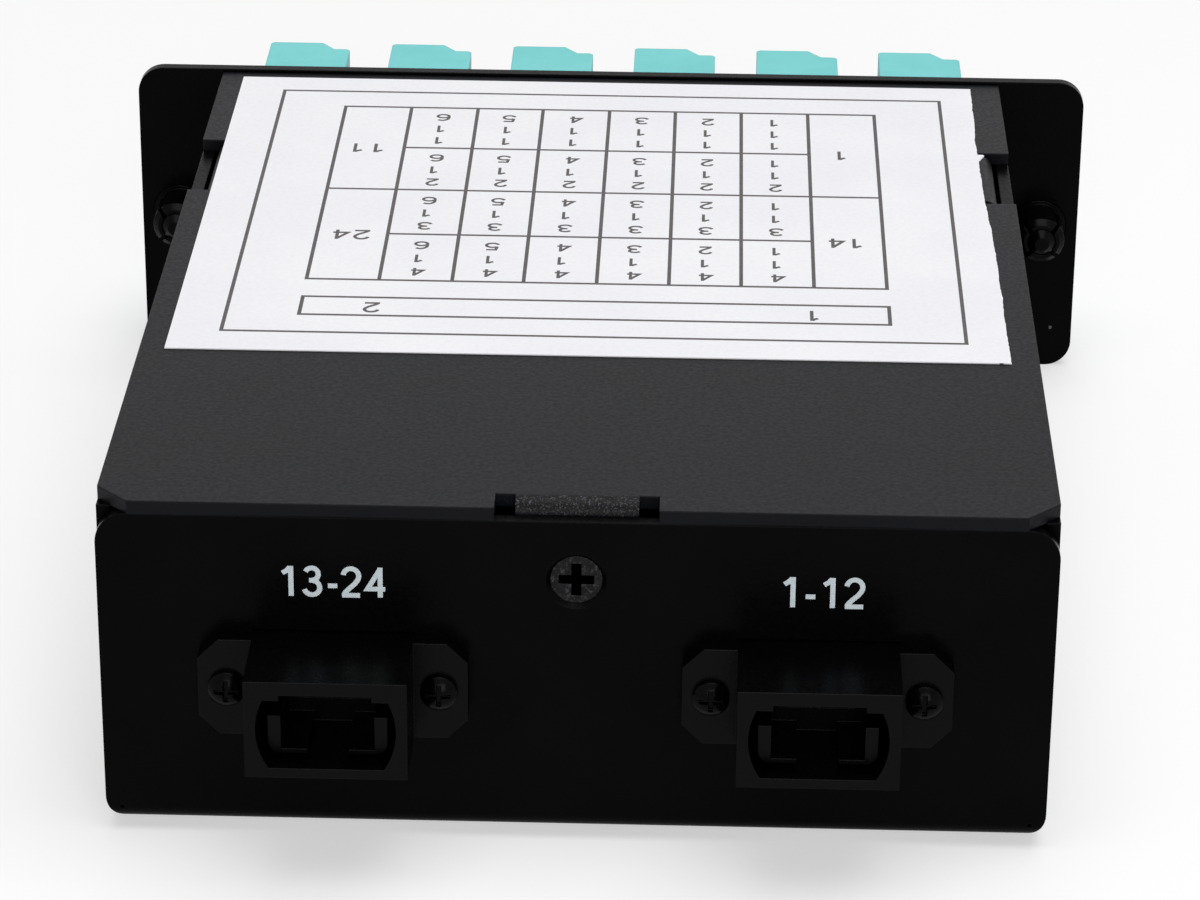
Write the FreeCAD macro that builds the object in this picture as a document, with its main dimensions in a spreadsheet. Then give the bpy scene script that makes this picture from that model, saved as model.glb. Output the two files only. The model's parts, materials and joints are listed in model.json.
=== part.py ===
"""Fibre cassette: a folded sheet case with two multi-fibre adapters on its rear wall, six quad LC
adapters in its front panel, and the plugs, fan-outs and fibres that join them inside.

Case coordinates, in millimetres: X to the right, Y from the outer face of the rear wall towards the
front panel, Z up from the underside of the floor. The model's own origin is the bottom centre of the
whole, so every sub-part is placed with that shift.
"""
import FreeCAD, Part
import math
import os
import re
import Sketcher

LC_COLUMNS = 6
LC_PORTS = 4
FAN_COLUMNS = LC_COLUMNS // 2
SIDES = (("left", -1), ("right", 1))

SIZES = {
    # folded sheet case
    "sheet_thickness": 1.3,
    "bend_inside": 0.4,
    "relief_radius": 0.2,
    "relief_inset": 1.5,
    "bend_relief": 0.5,
    "side_room": 2.15,
    "room_below": 2.7,
    "room_above": 3.4,
    "rear_corner": 2.9,
    "floor_corner": 2.6,
    # front panel and its ears
    "ear_width": 9.65,
    "panel_above": 0.35,
    "panel_below": 1.05,
    "panel_corner": 2.9,
    # cover
    "cover_bend_inside": 0.2,
    "cover_chamfer": 3.0,
    "cover_front_gap": 0.1,
    "tab_notch_width": 14.8,
    "tab_width": 11.14,
    "tab_gap": 0.2,
    "tab_drop": 12.0,
    "tongue_from_panel": 21.2,
    "tongue_notch": 14.55,
    "tongue_relief": 0.8,
    "tongue_gap": 0.45,
    "tongue_drop": 9.0,
    "dimple_radius": 1.0,
    "dimple_reach": 0.8,
    "dimple_drop": 6.2,
    # cover screw and its countersink in the rear wall
    "screw_drop": 7.2,
    "sink_radius": 2.725,
    "sink_lip": 0.35,
    "sink_lip_depth": 0.05,
    "sink_play": 0.05,
    "head_radius": 2.375,
    "shank_radius": 1.25,
    "screw_length": 6.0,
    "screw_cross": 1.6,
    "screw_cross_width": 0.9,
    "screw_cross_depth": 0.75,
    "tab_hole_play": 0.05,
    "tab_collar_wall": 0.9,
    "tab_collar_length": 1.2,
    # label on the cover
    "label_thickness": 0.12,
    "label_length": 75.5,
    "label_side_margin": 2.975,
    "label_front_margin": 1.75,
    "label_shift": 0.525,
    # multi-fibre adapters on the rear wall
    "mpo_offset": 21.95,
    "mpo_level": 15.3,
    "mpo_side_wall": 1.7,
    "mpo_top_wall": 1.3,
    "mpo_low_wall": 0.95,
    "mpo_outer_reach": 10.0,
    "mpo_inner_reach": 11.0,
    "mpo_web_outer": 0.8,
    "mpo_web_inner": 1.0,
    "mpo_flange_end": 2.6,
    "mpo_flange_thickness": 2.0,
    "mpo_flange_chamfer": 1.9,
    "mpo_cutout_play": 0.1,
    "opening_top": 2.95,
    "opening_bottom": 3.85,
    "opening_top_half": 5.6,
    "opening_bottom_half": 5.15,
    "opening_end_radius": 6.9,
    "opening_key_half": 4.15,
    "opening_key_rise": 0.55,
    "hook_half": 5.4,
    "hook_width": 1.2,
    "hook_foot": 0.45,
    "hook_foot_end": 1.85,
    "hook_low": 3.35,
    "hook_high": 0.4,
    "hook_bend": 1.1,
    "hook_recess": 2.0,
    "ferrule_gap_width": 6.9,
    "ferrule_gap_height": 3.0,
    # small screws and nuts of those adapters
    "small_head_radius": 1.7,
    "small_head_height": 1.25,
    "small_dome_rise": 0.75,
    "small_shank_radius": 0.95,
    "small_hole_play": 0.1,
    "small_cross": 1.05,
    "small_cross_width": 0.45,
    "small_cross_depth": 0.7,
    "nut_half": 2.0,
    "nut_thickness": 1.6,
    "nut_clearance": 0.35,
    "screw_end": 0.5,
    # plugs, boots, trunks and fan-outs behind the multi-fibre adapters
    "plug_play": 0.15,
    "mpo_plug_end": 22.0,
    "mt_width": 6.4,
    "mt_height": 2.5,
    "mt_length": 8.0,
    "mt_play": 0.1,
    "guide_pin_radius": 0.35,
    "guide_pin_spacing": 4.6,
    "mpo_boot_length": 16.0,
    "mpo_boot_big": 3.2,
    "mpo_boot_small": 2.3,
    "trunk_radius": 1.5,
    "trunk_run": 6.0,
    "end_gap": 0.15,
    "bore_play": 0.05,
    "fanout_length": 9.0,
    "fanout_margin": 1.4,
    "fanout_pitch_x": 1.7,
    "fanout_pitch_z": 2.6,
    "fanout_seat": 1.6,
    "cradle_length": 6.0,
    "cradle_wall": 1.4,
    "cradle_base": 1.2,
    "cradle_foot": 3.2,
    "cradle_grip": 1.5,
    "cradle_play": 0.15,
    # quad LC adapters, their clips and sleeves
    "lc_pitch": 14.1,
    "lc_wall": 1.0,
    "lc_end_wall": 0.9,
    "port_pitch": 6.25,
    "port_side": 4.7,
    "latch_slot": 3.0,
    "latch_rise": 2.6,
    "lc_reach": 18.2,
    "lc_step": 2.0,
    "lc_step_margin": 0.3,
    "lc_step_slope": 1.45,
    "lc_corner": 0.6,
    "holder_half": 5.8,
    "holder_plate_half": 1.5,
    "holder_tube_radius": 1.45,
    "holder_play": 0.05,
    "lc_flange_thickness": 1.6,
    "lc_flange_lip": 1.1,
    "lc_cutout_play": 0.1,
    "clip_thickness": 0.3,
    "clip_recess": 0.35,
    "clip_play": 0.1,
    "clip_length": 7.0,
    "clip_drop": 16.0,
    "clip_flare": 0.9,
    "clip_tongue": 4.5,
    "clip_tongue_width": 4.0,
    "sleeve_radius": 0.85,
    "sleeve_inner": 0.66,
    "sleeve_half": 5.5,
    "sleeve_slit": 0.3,
    # LC plugs, boots and fibres
    "lc_plug_play": 0.1,
    "lc_plug_back": 22.0,
    "lc_nose_gap": 0.2,
    "lc_nose_play": 0.3,
    "lc_ferrule_radius": 0.625,
    "lc_ferrule_length": 10.0,
    "latch_width": 2.4,
    "latch_thickness": 0.8,
    "latch_lift": 1.6,
    "lc_boot_length": 10.0,
    "lc_boot_big": 1.9,
    "lc_boot_small": 1.25,
    "fibre_radius": 0.45,
    "fibre_run": 27.4,
    "fibre_lead": 6.5,
    "fibre_seat": 1.5,
    # push-pull latches in the ears
    "latch_edge": 4.3,
    "grommet_radius": 2.6,
    "grommet_play": 0.05,
    "grommet_step": 0.4,
    "grommet_edge": 0.3,
    "grommet_tip": 0.6,
    "grommet_root": 0.5,
    "grommet_flange_radius": 4.0,
    "grommet_flange": 1.4,
    "grommet_behind": 5.0,
    "grommet_slot": 0.5,
    "grommet_slot_turn": 45,
    "pin_radius": 1.5,
    "pin_play": 0.05,
    "pin_tip": 0.7,
    "knob_radius": 3.6,
    "knob_waist": 2.9,
    "knob_length": 7.0,
    "knob_gap": 0.05,
}

DERIVED = {
    "lc_width": "2 * lc_wall + port_side + latch_rise",
    "lc_height": f"{LC_PORTS} * port_pitch + 2 * lc_end_wall",
    "half_width": f"({LC_COLUMNS - 1} * lc_pitch + lc_width) / 2 + side_room + sheet_thickness",
    "case_height": "room_below + lc_height + room_above",
    "port_level": "room_below + lc_height / 2",
    "fibre_end": "mpo_plug_end + mpo_boot_length + trunk_run + fanout_length + fibre_run",
    "panel_front": "fibre_end + lc_boot_length + lc_plug_back",
    "panel_back": "panel_front - sheet_thickness",
    "wall_top": "case_height - sheet_thickness",
    "bend_outside": "bend_inside + sheet_thickness",
    "cover_bend_outside": "cover_bend_inside + sheet_thickness",
    "tab_face": "sheet_thickness + tab_gap",
    "tab_line": "tab_face + cover_bend_outside",
    "tab_hole": "shank_radius + tab_hole_play",
    "tongue_face": "half_width - sheet_thickness - tongue_gap",
    "tongue_line": "tongue_face - cover_bend_outside",
    "tongue_front": "panel_back - tongue_from_panel",
    "tongue_rear": "tongue_front - tongue_notch",
    "tongue_middle": "(tongue_front + tongue_rear) / 2",
    "screw_level": "case_height - screw_drop",
    "screw_head_depth": "sink_lip_depth + sink_radius - head_radius - sink_play",
    "panel_high": "case_height + panel_above",
    "panel_half": "half_width + ear_width",
    "panel_middle": "(panel_high - panel_below) / 2",
    "latch_x": "panel_half - latch_edge",
    "port_x": "lc_wall + port_side / 2 - lc_width / 2",
    "port_low": f"-{(LC_PORTS - 1) / 2} * port_pitch",
    "clip_front": "sheet_thickness + clip_play",
    "clip_rear": "clip_front + clip_length",
    "fanout_rear": "mpo_plug_end + mpo_boot_length + trunk_run",
    "fanout_front": "fanout_rear + fanout_length",
    "fanout_half_x": f"{(FAN_COLUMNS - 1) / 2} * fanout_pitch_x + fanout_margin",
    "fanout_half_z": f"{(LC_PORTS - 1) / 2} * fanout_pitch_z + fanout_margin",
    "exit_radius": "fibre_radius + bore_play",
    "mpo_box_half": "opening_top_half + mpo_side_wall",
    "mpo_box_top": "opening_top + opening_key_rise + mpo_top_wall",
    "mpo_box_low": "opening_bottom + mpo_low_wall",
    "mpo_screw_half": "mpo_box_half + nut_clearance + nut_half",
    "mpo_flange_half": "mpo_screw_half + mpo_flange_end",
    "small_dome": "(small_head_radius^2 + small_dome_rise^2) / (2 * small_dome_rise)",
    "small_hole": "small_shank_radius + small_hole_play",
    "small_screw_length": "mpo_flange_thickness + sheet_thickness + nut_thickness + screw_end",
    "grommet_rear": "sheet_thickness + grommet_behind",
    "grommet_collar": "grommet_radius + grommet_step",
    "middle_y": "(panel_front + lc_reach - mpo_outer_reach) / 2",
}

OWNER = {name: "Sizes" for name in SIZES}
OWNER.update({name: "Derived" for name in DERIVED})


def bound(text):
    """Return an expression with each size's name preceded by the object that holds it."""
    return re.sub(r"[a-z_]+", lambda word: name_in_document(word.group(0)), text)


def name_in_document(word):
    """Return Sizes.word or Derived.word for a size, and any other word as it is."""
    if word in OWNER:
        return f"{OWNER[word]}.{word}"
    return word


def number(text):
    """Return what an expression of sizes comes to."""
    return float(derived.evalExpression(bound(text)))


def make_sheet():
    """Write the driving sizes to the spreadsheet, one row each."""
    sheet = document.addObject("Spreadsheet::Sheet", "Sizes")
    for row, (name, value) in enumerate(SIZES.items(), start=1):
        sheet.set(f"A{row}", name)
        sheet.set(f"B{row}", str(value))
        sheet.setAlias(f"B{row}", name)
    document.recompute()
    return sheet


def make_derived():
    """Add the sizes that follow from the driving ones."""
    values = document.addObject("App::VarSet", "Derived")
    for name, text in DERIVED.items():
        values.addProperty("App::PropertyFloat", name, "Derived")
        values.setExpression(name, bound(text))
        document.recompute()
    return values


# ---------------------------------------------------------------- sketches and features


def origin_feature(body, role):
    """Return the body's own origin plane or axis of that role."""
    for feature in body.Origin.OriginFeatures:
        if feature.Role == role:
            return feature
    raise ValueError(role)


def new_body(name):
    """Return an empty body whose label is the node's name."""
    body = document.addObject("PartDesign::Body", name)
    body.Label = name
    return body


def place(item, x_text="0", y_text="0", z_text="0"):
    """Place an object at a point given in case coordinates."""
    item.setExpression("Placement.Base.x", bound(x_text))
    item.setExpression("Placement.Base.y", bound(f"({y_text}) - middle_y"))
    item.setExpression("Placement.Base.z", bound(f"({z_text}) + panel_below"))


def new_sketch(body, role, name, level="0"):
    """Attach a sketch to an origin plane, moved along +X, +Y or +Z by the level."""
    drawing = body.newObject("Sketcher::SketchObject", f"{body.Name}_{name}")
    drawing.AttachmentSupport = [(origin_feature(body, role), "")]
    drawing.MapMode = "FlatFace"
    sign = "-1" if role == "XZ_Plane" else "1"
    drawing.setExpression("AttachmentOffset.Base.z", bound(f"{sign} * ({level})"))
    return drawing


def constrain(drawing, kind, geometry, value_text, point=None):
    """Add a constraint whose value is bound to an expression of sizes."""
    value = number(value_text)
    if point is None:
        index = drawing.addConstraint(Sketcher.Constraint(kind, geometry, value))
    else:
        index = drawing.addConstraint(Sketcher.Constraint(kind, -1, 1, geometry, point, value))
    drawing.setExpression(f"Constraints[{index}]", bound(value_text))


def add_outline(drawing, corners):
    """Draw a closed outline of corners (x, y), or (x, y, radius) where an arc arrives at the corner.

    The arc turns left, or right if the radius starts with a minus.
    """
    points = [FreeCAD.Vector(number(corner[0]), number(corner[1]), 0) for corner in corners]
    first = drawing.GeometryCount
    count = len(corners)
    starts = []
    ends = []
    for index in range(count):
        following = (index + 1) % count
        start = points[index]
        end = points[following]
        if len(corners[following]) == 2:
            drawing.addGeometry(Part.LineSegment(start, end), False)
        else:
            drawing.addGeometry(make_arc(start, end, number(corners[following][2])), False)
        at_start = (drawing.getPoint(first + index, 1) - start).Length < 1e-7
        starts.append(1 if at_start else 2)
        ends.append(2 if at_start else 1)
    for index in range(count):
        following = (index + 1) % count
        join = Sketcher.Constraint(
            "Coincident", first + index, ends[index], first + following, starts[following]
        )
        drawing.addConstraint(join)
    for index, corner in enumerate(corners):
        constrain(drawing, "DistanceX", first + index, corner[0], starts[index])
        constrain(drawing, "DistanceY", first + index, corner[1], starts[index])
        if len(corner) == 3:
            arriving = first + (index - 1) % count
            constrain(drawing, "Radius", arriving, corner[2].lstrip("-"))


def make_arc(start, end, radius):
    """Return the short arc between two points, turning left, or right if the radius is negative."""
    chord = end - start
    turn = math.copysign(1, radius)
    reach = math.sqrt(max(radius**2 - chord.Length**2 / 4, 0))
    across = FreeCAD.Vector(-chord.y, chord.x, 0).normalize() * turn
    centre = (start + end) * 0.5 + across * reach
    return Part.Arc(start, centre - across * abs(radius), end)


def add_rectangle(drawing, left, low, right, high):
    """Draw a rectangle between two corners."""
    add_outline(drawing, [(left, low), (right, low), (right, high), (left, high)])


def add_circle(drawing, x_text, y_text, radius):
    """Draw a circle."""
    centre = FreeCAD.Vector(number(x_text), number(y_text), 0)
    circle = Part.Circle(centre, FreeCAD.Vector(0, 0, 1), number(radius))
    index = drawing.addGeometry(circle, False)
    constrain(drawing, "DistanceX", index, x_text, 3)
    constrain(drawing, "DistanceY", index, y_text, 3)
    constrain(drawing, "Radius", index, radius)


def add_cross(drawing, reach, width):
    """Draw a plus sign about the sketch's origin."""
    half = f"({width}) / 2"
    arm = f"({reach})"
    quarter = [(arm, f"-{half}"), (arm, half), (half, half), (half, arm), (f"-{half}", arm)]
    quarter += [(f"-{half}", half), (f"-{arm}", half), (f"-{arm}", f"-{half}")]
    quarter += [(f"-{half}", f"-{half}"), (f"-{half}", f"-{arm}"), (half, f"-{arm}"), (half, f"-{half}")]
    add_outline(drawing, quarter)


def extrude(body, kind, drawing, name, length, backward):
    """Add a Pad or a Pocket that runs along +X, +Y or +Z, or backward."""
    feature = body.newObject(f"PartDesign::{kind}", f"{body.Name}_{name}")
    feature.Profile = drawing
    feature.setExpression("Length", bound(length))
    faces_back = drawing.AttachmentSupport[0][0].Role == "XZ_Plane"
    runs_back = faces_back if kind == "Pad" else not faces_back
    feature.Reversed = runs_back != backward
    return feature


def pad(body, drawing, name, length, backward=False):
    """Add material from the sketch along the positive axis."""
    return extrude(body, "Pad", drawing, name, length, backward)


def pocket(body, drawing, name, length, backward=False):
    """Cut from the sketch along the positive axis."""
    return extrude(body, "Pocket", drawing, name, length, backward)


def revolve(body, name, corners, kind="Revolution", level="0"):
    """Turn an outline of (y, radius) corners about the body's Y direction."""
    drawing = new_sketch(body, "YZ_Plane", f"{name}_profile", level)
    add_outline(drawing, corners)
    feature = body.newObject(f"PartDesign::{kind}", f"{body.Name}_{name}")
    feature.Profile = drawing
    feature.ReferenceAxis = (drawing, ["H_Axis"])
    feature.Angle = 360
    return feature


def linear(body, name, axis, step, count):
    """Return a linear pattern's settings: so many copies along an axis, one step apart."""
    pattern = body.newObject("PartDesign::LinearPattern", f"{body.Name}_{name}")
    pattern.Direction = (origin_feature(body, axis), [""])
    pattern.setExpression("Length", bound(f"({step}) * {count - 1}"))
    pattern.Occurrences = count
    return pattern


def repeat(body, name, feature, axis, step, count):
    """Repeat a feature along an axis."""
    pattern = linear(body, name, axis, step, count)
    pattern.Originals = [feature]
    body.Tip = pattern
    return pattern


def mirror(body, name, features, plane="YZ_Plane"):
    """Mirror features across an origin plane."""
    mirrored = body.newObject("PartDesign::Mirrored", f"{body.Name}_{name}")
    mirrored.Originals = features
    mirrored.MirrorPlane = (origin_feature(body, plane), [""])
    body.Tip = mirrored
    return mirrored


def transform_many(body, name, feature, steps):
    """Repeat a feature by several patterns or mirrors, one after the other."""
    many = body.newObject("PartDesign::MultiTransform", f"{body.Name}_{name}")
    many.Originals = [feature]
    transformations = []
    for index, (kind, reference, step, count) in enumerate(steps, start=1):
        part = document.addObject(f"PartDesign::{kind}", f"{body.Name}_{name}_{index}")
        if kind == "Mirrored":
            part.MirrorPlane = (origin_feature(body, reference), [""])
        else:
            part.Direction = (origin_feature(body, reference), [""])
            part.setExpression("Length", bound(f"({step}) * {count - 1}"))
            part.Occurrences = count
        transformations.append(part)
    many.Transformations = transformations
    body.Tip = many
    return many


def group_copies(name, source, places):
    """Return a compound of linked copies of one body, one at each (x, y, z)."""
    copies = []
    for index, (x_text, y_text, z_text) in enumerate(places, start=1):
        copy = document.addObject("App::Link", f"{name}_{index}")
        copy.LinkedObject = source
        place(copy, x_text, y_text, z_text)
        copies.append(copy)
    group = document.addObject("Part::Compound", name)
    group.Label = name
    group.Links = copies
    return group


# ---------------------------------------------------------------- folded sheet case


def make_base_tray():
    """The folded sheet: floor, side walls, rear wall, and the front panel with its two ears."""
    body = new_body("base_tray")
    place(body)
    add_rear_wall(body)
    add_channel(body)
    add_front_panel(body)
    return body


def add_rear_wall(body):
    """The rear wall and its bend across the full width, trimmed and pierced before the rest."""
    fold = new_sketch(body, "YZ_Plane", "rear_fold", "-half_width")
    strip_end = "bend_outside + bend_relief"
    corners = [
        ("bend_outside", "0", "bend_outside"),
        (strip_end, "0"),
        (strip_end, "sheet_thickness"),
        ("bend_outside", "sheet_thickness"),
        ("sheet_thickness", "bend_outside", "-bend_inside"),
        ("sheet_thickness", "wall_top"),
        ("0", "wall_top"),
        ("0", "bend_outside"),
    ]
    add_outline(fold, corners)
    pad(body, fold, "rear_wall", "2 * half_width")

    trim = new_sketch(body, "XZ_Plane", "rear_trim")
    for side, turn in (("-1", ""), ("1", "-")):
        edge = f"{side} * half_width"
        add_outline(trim, [
            (f"{side} * (half_width - rear_corner)", "wall_top"),
            (edge, "wall_top - rear_corner", f"{turn}rear_corner"),
            (edge, "wall_top"),
        ])
        add_outline(trim, [
            (f"{side} * (half_width - floor_corner)", "0", f"{turn}floor_corner"),
            (edge, "0"),
            (edge, "floor_corner"),
        ])
    pocket(body, trim, "rear_corners", strip_end)

    relief = new_sketch(body, "XZ_Plane", "relief_holes")
    for side in ("-1", "1"):
        add_circle(relief, f"{side} * (half_width - relief_inset)", "relief_inset", "relief_radius")
    pocket(body, relief, "reliefs", strip_end)

    cutouts = new_sketch(body, "XZ_Plane", "adapter_cutouts")
    for side in ("-1", "1"):
        centre = f"{side} * mpo_offset"
        half = "(mpo_box_half + mpo_cutout_play)"
        low = "mpo_level - (mpo_box_low + mpo_cutout_play)"
        top = "mpo_level + mpo_box_top + mpo_cutout_play"
        add_rectangle(cutouts, f"{centre} - {half}", low, f"{centre} + {half}", top)
        for end in ("-1", "1"):
            hole_x = f"{centre} + {end} * mpo_screw_half"
            add_circle(cutouts, hole_x, "mpo_level", "small_hole")
    pocket(body, cutouts, "rear_openings", "sheet_thickness")

    sink = new_sketch(body, "YZ_Plane", "sink_profile")
    bottom = "sink_radius + sink_lip_depth - sheet_thickness"
    add_outline(sink, [
        ("0", "screw_level"),
        ("sheet_thickness", "screw_level"),
        ("sheet_thickness", f"screw_level + {bottom}"),
        ("sink_lip_depth", "screw_level + sink_radius"),
        ("0", "screw_level + sink_radius + sink_lip"),
    ])
    groove = body.newObject("PartDesign::Groove", "base_tray_screw_sink")
    groove.Profile = sink
    groove.ReferenceAxis = (sink, ["Edge1"])
    groove.Angle = 360


def add_channel(body):
    """The floor and the two side walls, with their bends and the holes for the cover's dimples."""
    channel = new_sketch(body, "XZ_Plane", "channel", "bend_outside")
    inner = "half_width - sheet_thickness"
    corners = [
        ("-(half_width - bend_outside)", "0", "bend_outside"),
        ("half_width - bend_outside", "0"),
        ("half_width", "bend_outside", "bend_outside"),
        ("half_width", "wall_top"),
        (inner, "wall_top"),
        (inner, "bend_outside"),
        ("half_width - bend_outside", "sheet_thickness", "-bend_inside"),
        ("-(half_width - bend_outside)", "sheet_thickness"),
        (f"-({inner})", "bend_outside", "-bend_inside"),
        (f"-({inner})", "wall_top"),
        ("-half_width", "wall_top"),
        ("-half_width", "bend_outside"),
    ]
    add_outline(channel, corners)
    pad(body, channel, "floor_and_sides", "panel_back - bend_inside - bend_outside")

    holes = new_sketch(body, "YZ_Plane", "dimple_holes", "-half_width")
    add_circle(holes, "tongue_middle", "case_height - dimple_drop", "dimple_radius + sink_play")
    pocket(body, holes, "dimple_holes_cut", "2 * half_width")


def add_front_panel(body):
    """The front fold, the panel with its ears, and what is cut through them."""
    fold_half = "half_width - bend_outside - bend_relief"
    fold = new_sketch(body, "YZ_Plane", "front_fold", f"-({fold_half})")
    fold_start = "panel_back - bend_inside - bend_relief"
    corners = [
        (fold_start, "0"),
        ("panel_front - bend_outside", "0"),
        ("panel_front", "bend_outside", "bend_outside"),
        ("panel_front", "2 * bend_outside"),
        ("panel_back", "2 * bend_outside"),
        ("panel_back", "bend_outside"),
        ("panel_back - bend_inside", "sheet_thickness", "-bend_inside"),
        (fold_start, "sheet_thickness"),
    ]
    add_outline(fold, corners)
    pad(body, fold, "front_bend", f"2 * ({fold_half})")

    plate = new_sketch(body, "XZ_Plane", "panel_plate", "panel_back")
    inner = "half_width - bend_outside"
    corner = "panel_corner"
    corners = [
        (f"-(panel_half - {corner})", "-panel_below", corner),
        (f"-({inner})", "-panel_below"),
        (f"-({inner})", "bend_outside"),
        (inner, "bend_outside"),
        (inner, "-panel_below"),
        (f"panel_half - {corner}", "-panel_below"),
        ("panel_half", f"{corner} - panel_below", corner),
        ("panel_half", f"panel_high - {corner}"),
        (f"panel_half - {corner}", "panel_high", corner),
        (f"-(panel_half - {corner})", "panel_high"),
        ("-panel_half", f"panel_high - {corner}", corner),
        ("-panel_half", f"{corner} - panel_below"),
    ]
    add_outline(plate, corners)
    pad(body, plate, "panel", "sheet_thickness")

    ears = new_sketch(body, "XZ_Plane", "ear_holes", "panel_back")
    for side in ("-1", "1"):
        add_circle(ears, f"{side} * latch_x", "panel_middle", "grommet_collar + grommet_play")
    pocket(body, ears, "latch_holes", "sheet_thickness")

    window = new_sketch(body, "XZ_Plane", "port_window", "panel_back")
    first = f"{-(LC_COLUMNS - 1) / 2} * lc_pitch"
    half = "(lc_width / 2 + lc_cutout_play)"
    tall = "(lc_height / 2 + lc_cutout_play)"
    left, right = f"{first} - {half}", f"{first} + {half}"
    add_rectangle(window, left, f"port_level - {tall}", right, f"port_level + {tall}")
    cut = pocket(body, window, "window", "sheet_thickness")
    repeat(body, "windows", cut, "X_Axis", "lc_pitch", LC_COLUMNS)


def make_cover():
    """The flat cover with its rear screw tab and a tongue with a snap dimple at each side notch."""
    body = new_body("cover")
    place(body)
    plate = new_sketch(body, "XY_Plane", "plate", "wall_top")
    half_notch = "tab_notch_width / 2"
    right = [
        (half_notch, "tab_line"),
        (half_notch, "0"),
        ("half_width - cover_chamfer", "0"),
        ("half_width", "cover_chamfer"),
        ("half_width", "tongue_rear"),
        ("tongue_line", "tongue_rear"),
        ("tongue_line", "tongue_front"),
        ("half_width", "tongue_front"),
        ("half_width", "panel_back - cover_front_gap"),
    ]
    left = [(f"-({x_text})", y_text) for x_text, y_text in reversed(right)]
    add_outline(plate, right + left)
    pad(body, plate, "flat", "sheet_thickness")
    add_screw_tab(body)
    add_tongues(body)
    return body


def add_screw_tab(body):
    """The tab bent down behind the rear wall, with the threaded collar for the cover screw."""
    low = "case_height - tab_drop"
    tab = new_sketch(body, "YZ_Plane", "tab", "-tab_width / 2")
    back = "tab_face + sheet_thickness"
    corners = [
        ("tab_face", low),
        (back, low),
        (back, "wall_top - cover_bend_inside"),
        ("tab_line", "wall_top", "-cover_bend_inside"),
        ("tab_line + bend_relief", "wall_top"),
        ("tab_line + bend_relief", "case_height"),
        ("tab_line", "case_height"),
        ("tab_face", "case_height - cover_bend_outside", "cover_bend_outside"),
    ]
    add_outline(tab, corners)
    pad(body, tab, "tab_sheet", "tab_width")

    collar = new_sketch(body, "XZ_Plane", "collar", "tab_face")
    add_circle(collar, "0", "screw_level", "tab_hole + tab_collar_wall")
    pad(body, collar, "collar_ring", "sheet_thickness + tab_collar_length")

    hole = new_sketch(body, "XZ_Plane", "tab_bore", "tab_face")
    add_circle(hole, "0", "screw_level", "tab_hole")
    pocket(body, hole, "tab_hole_cut", "sheet_thickness + tab_collar_length")


def add_tongues(body):
    """The two side tongues, each with a dimple that snaps into its side wall."""
    low = "case_height - tongue_drop"
    tongue = new_sketch(body, "XZ_Plane", "tongue", "tongue_rear + tongue_relief")
    inside = "tongue_face - sheet_thickness"
    corners = [
        (inside, low),
        ("tongue_face", low),
        ("tongue_face", "case_height - cover_bend_outside"),
        ("tongue_line", "case_height", "cover_bend_outside"),
        ("tongue_line - bend_relief", "case_height"),
        ("tongue_line - bend_relief", "wall_top"),
        ("tongue_line", "wall_top"),
        (inside, "wall_top - cover_bend_inside", "-cover_bend_inside"),
    ]
    add_outline(tongue, corners)
    sheet_pad = pad(body, tongue, "tongue_sheet", "tongue_notch - 2 * tongue_relief")

    dimple = new_sketch(body, "YZ_Plane", "dimple", "tongue_face")
    add_circle(dimple, "tongue_middle", "case_height - dimple_drop", "dimple_radius")
    dimple_pad = pad(body, dimple, "dimple_boss", "tongue_gap + dimple_reach")
    mirror(body, "left_tongue", [sheet_pad, dimple_pad])


def make_label():
    """The thin label that lies on the cover."""
    label = document.addObject("Part::Box", "cover_label")
    label.Label = "cover_label"
    label.setExpression("Length", bound("2 * (half_width - label_side_margin)"))
    label.setExpression("Width", bound("label_length"))
    label.setExpression("Height", bound("label_thickness"))
    place(
        label,
        "label_side_margin - half_width - label_shift",
        "panel_back - label_front_margin - label_length",
        "case_height",
    )
    return label


def make_cover_screw():
    """The countersunk screw, with its cross recess, from the rear wall into the cover's tab."""
    body = new_body("cover_screw")
    place(body, "0", "screw_head_depth", "screw_level")
    revolve(body, "turned", [
        ("0", "0"),
        ("screw_length", "0"),
        ("screw_length", "shank_radius * 0.8"),
        ("screw_length - shank_radius * 0.2", "shank_radius"),
        ("head_radius - shank_radius", "shank_radius"),
        ("0", "head_radius"),
    ])
    recess = new_sketch(body, "XZ_Plane", "cross")
    add_cross(recess, "screw_cross", "screw_cross_width")
    pocket(body, recess, "recess", "screw_cross_depth")
    return body


# ---------------------------------------------------------------- multi-fibre adapters


def add_opening(drawing, play="0"):
    """Draw the multi-fibre port's outline: arched ends, flat foot and a keyway at the top."""
    low = f"-(opening_bottom - {play})"
    high = f"opening_top - {play}"
    key = f"opening_top + opening_key_rise - {play}"
    foot = f"(opening_bottom_half - {play})"
    head = f"(opening_top_half - {play})"
    key_half = f"(opening_key_half - {play})"
    radius = f"opening_end_radius - {play}"
    add_outline(drawing, [
        (f"-{foot}", low, radius),
        (foot, low),
        (head, high, radius),
        (key_half, high),
        (key_half, key),
        (f"-{key_half}", key),
        (f"-{key_half}", high),
        (f"-{head}", high),
    ])


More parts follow.
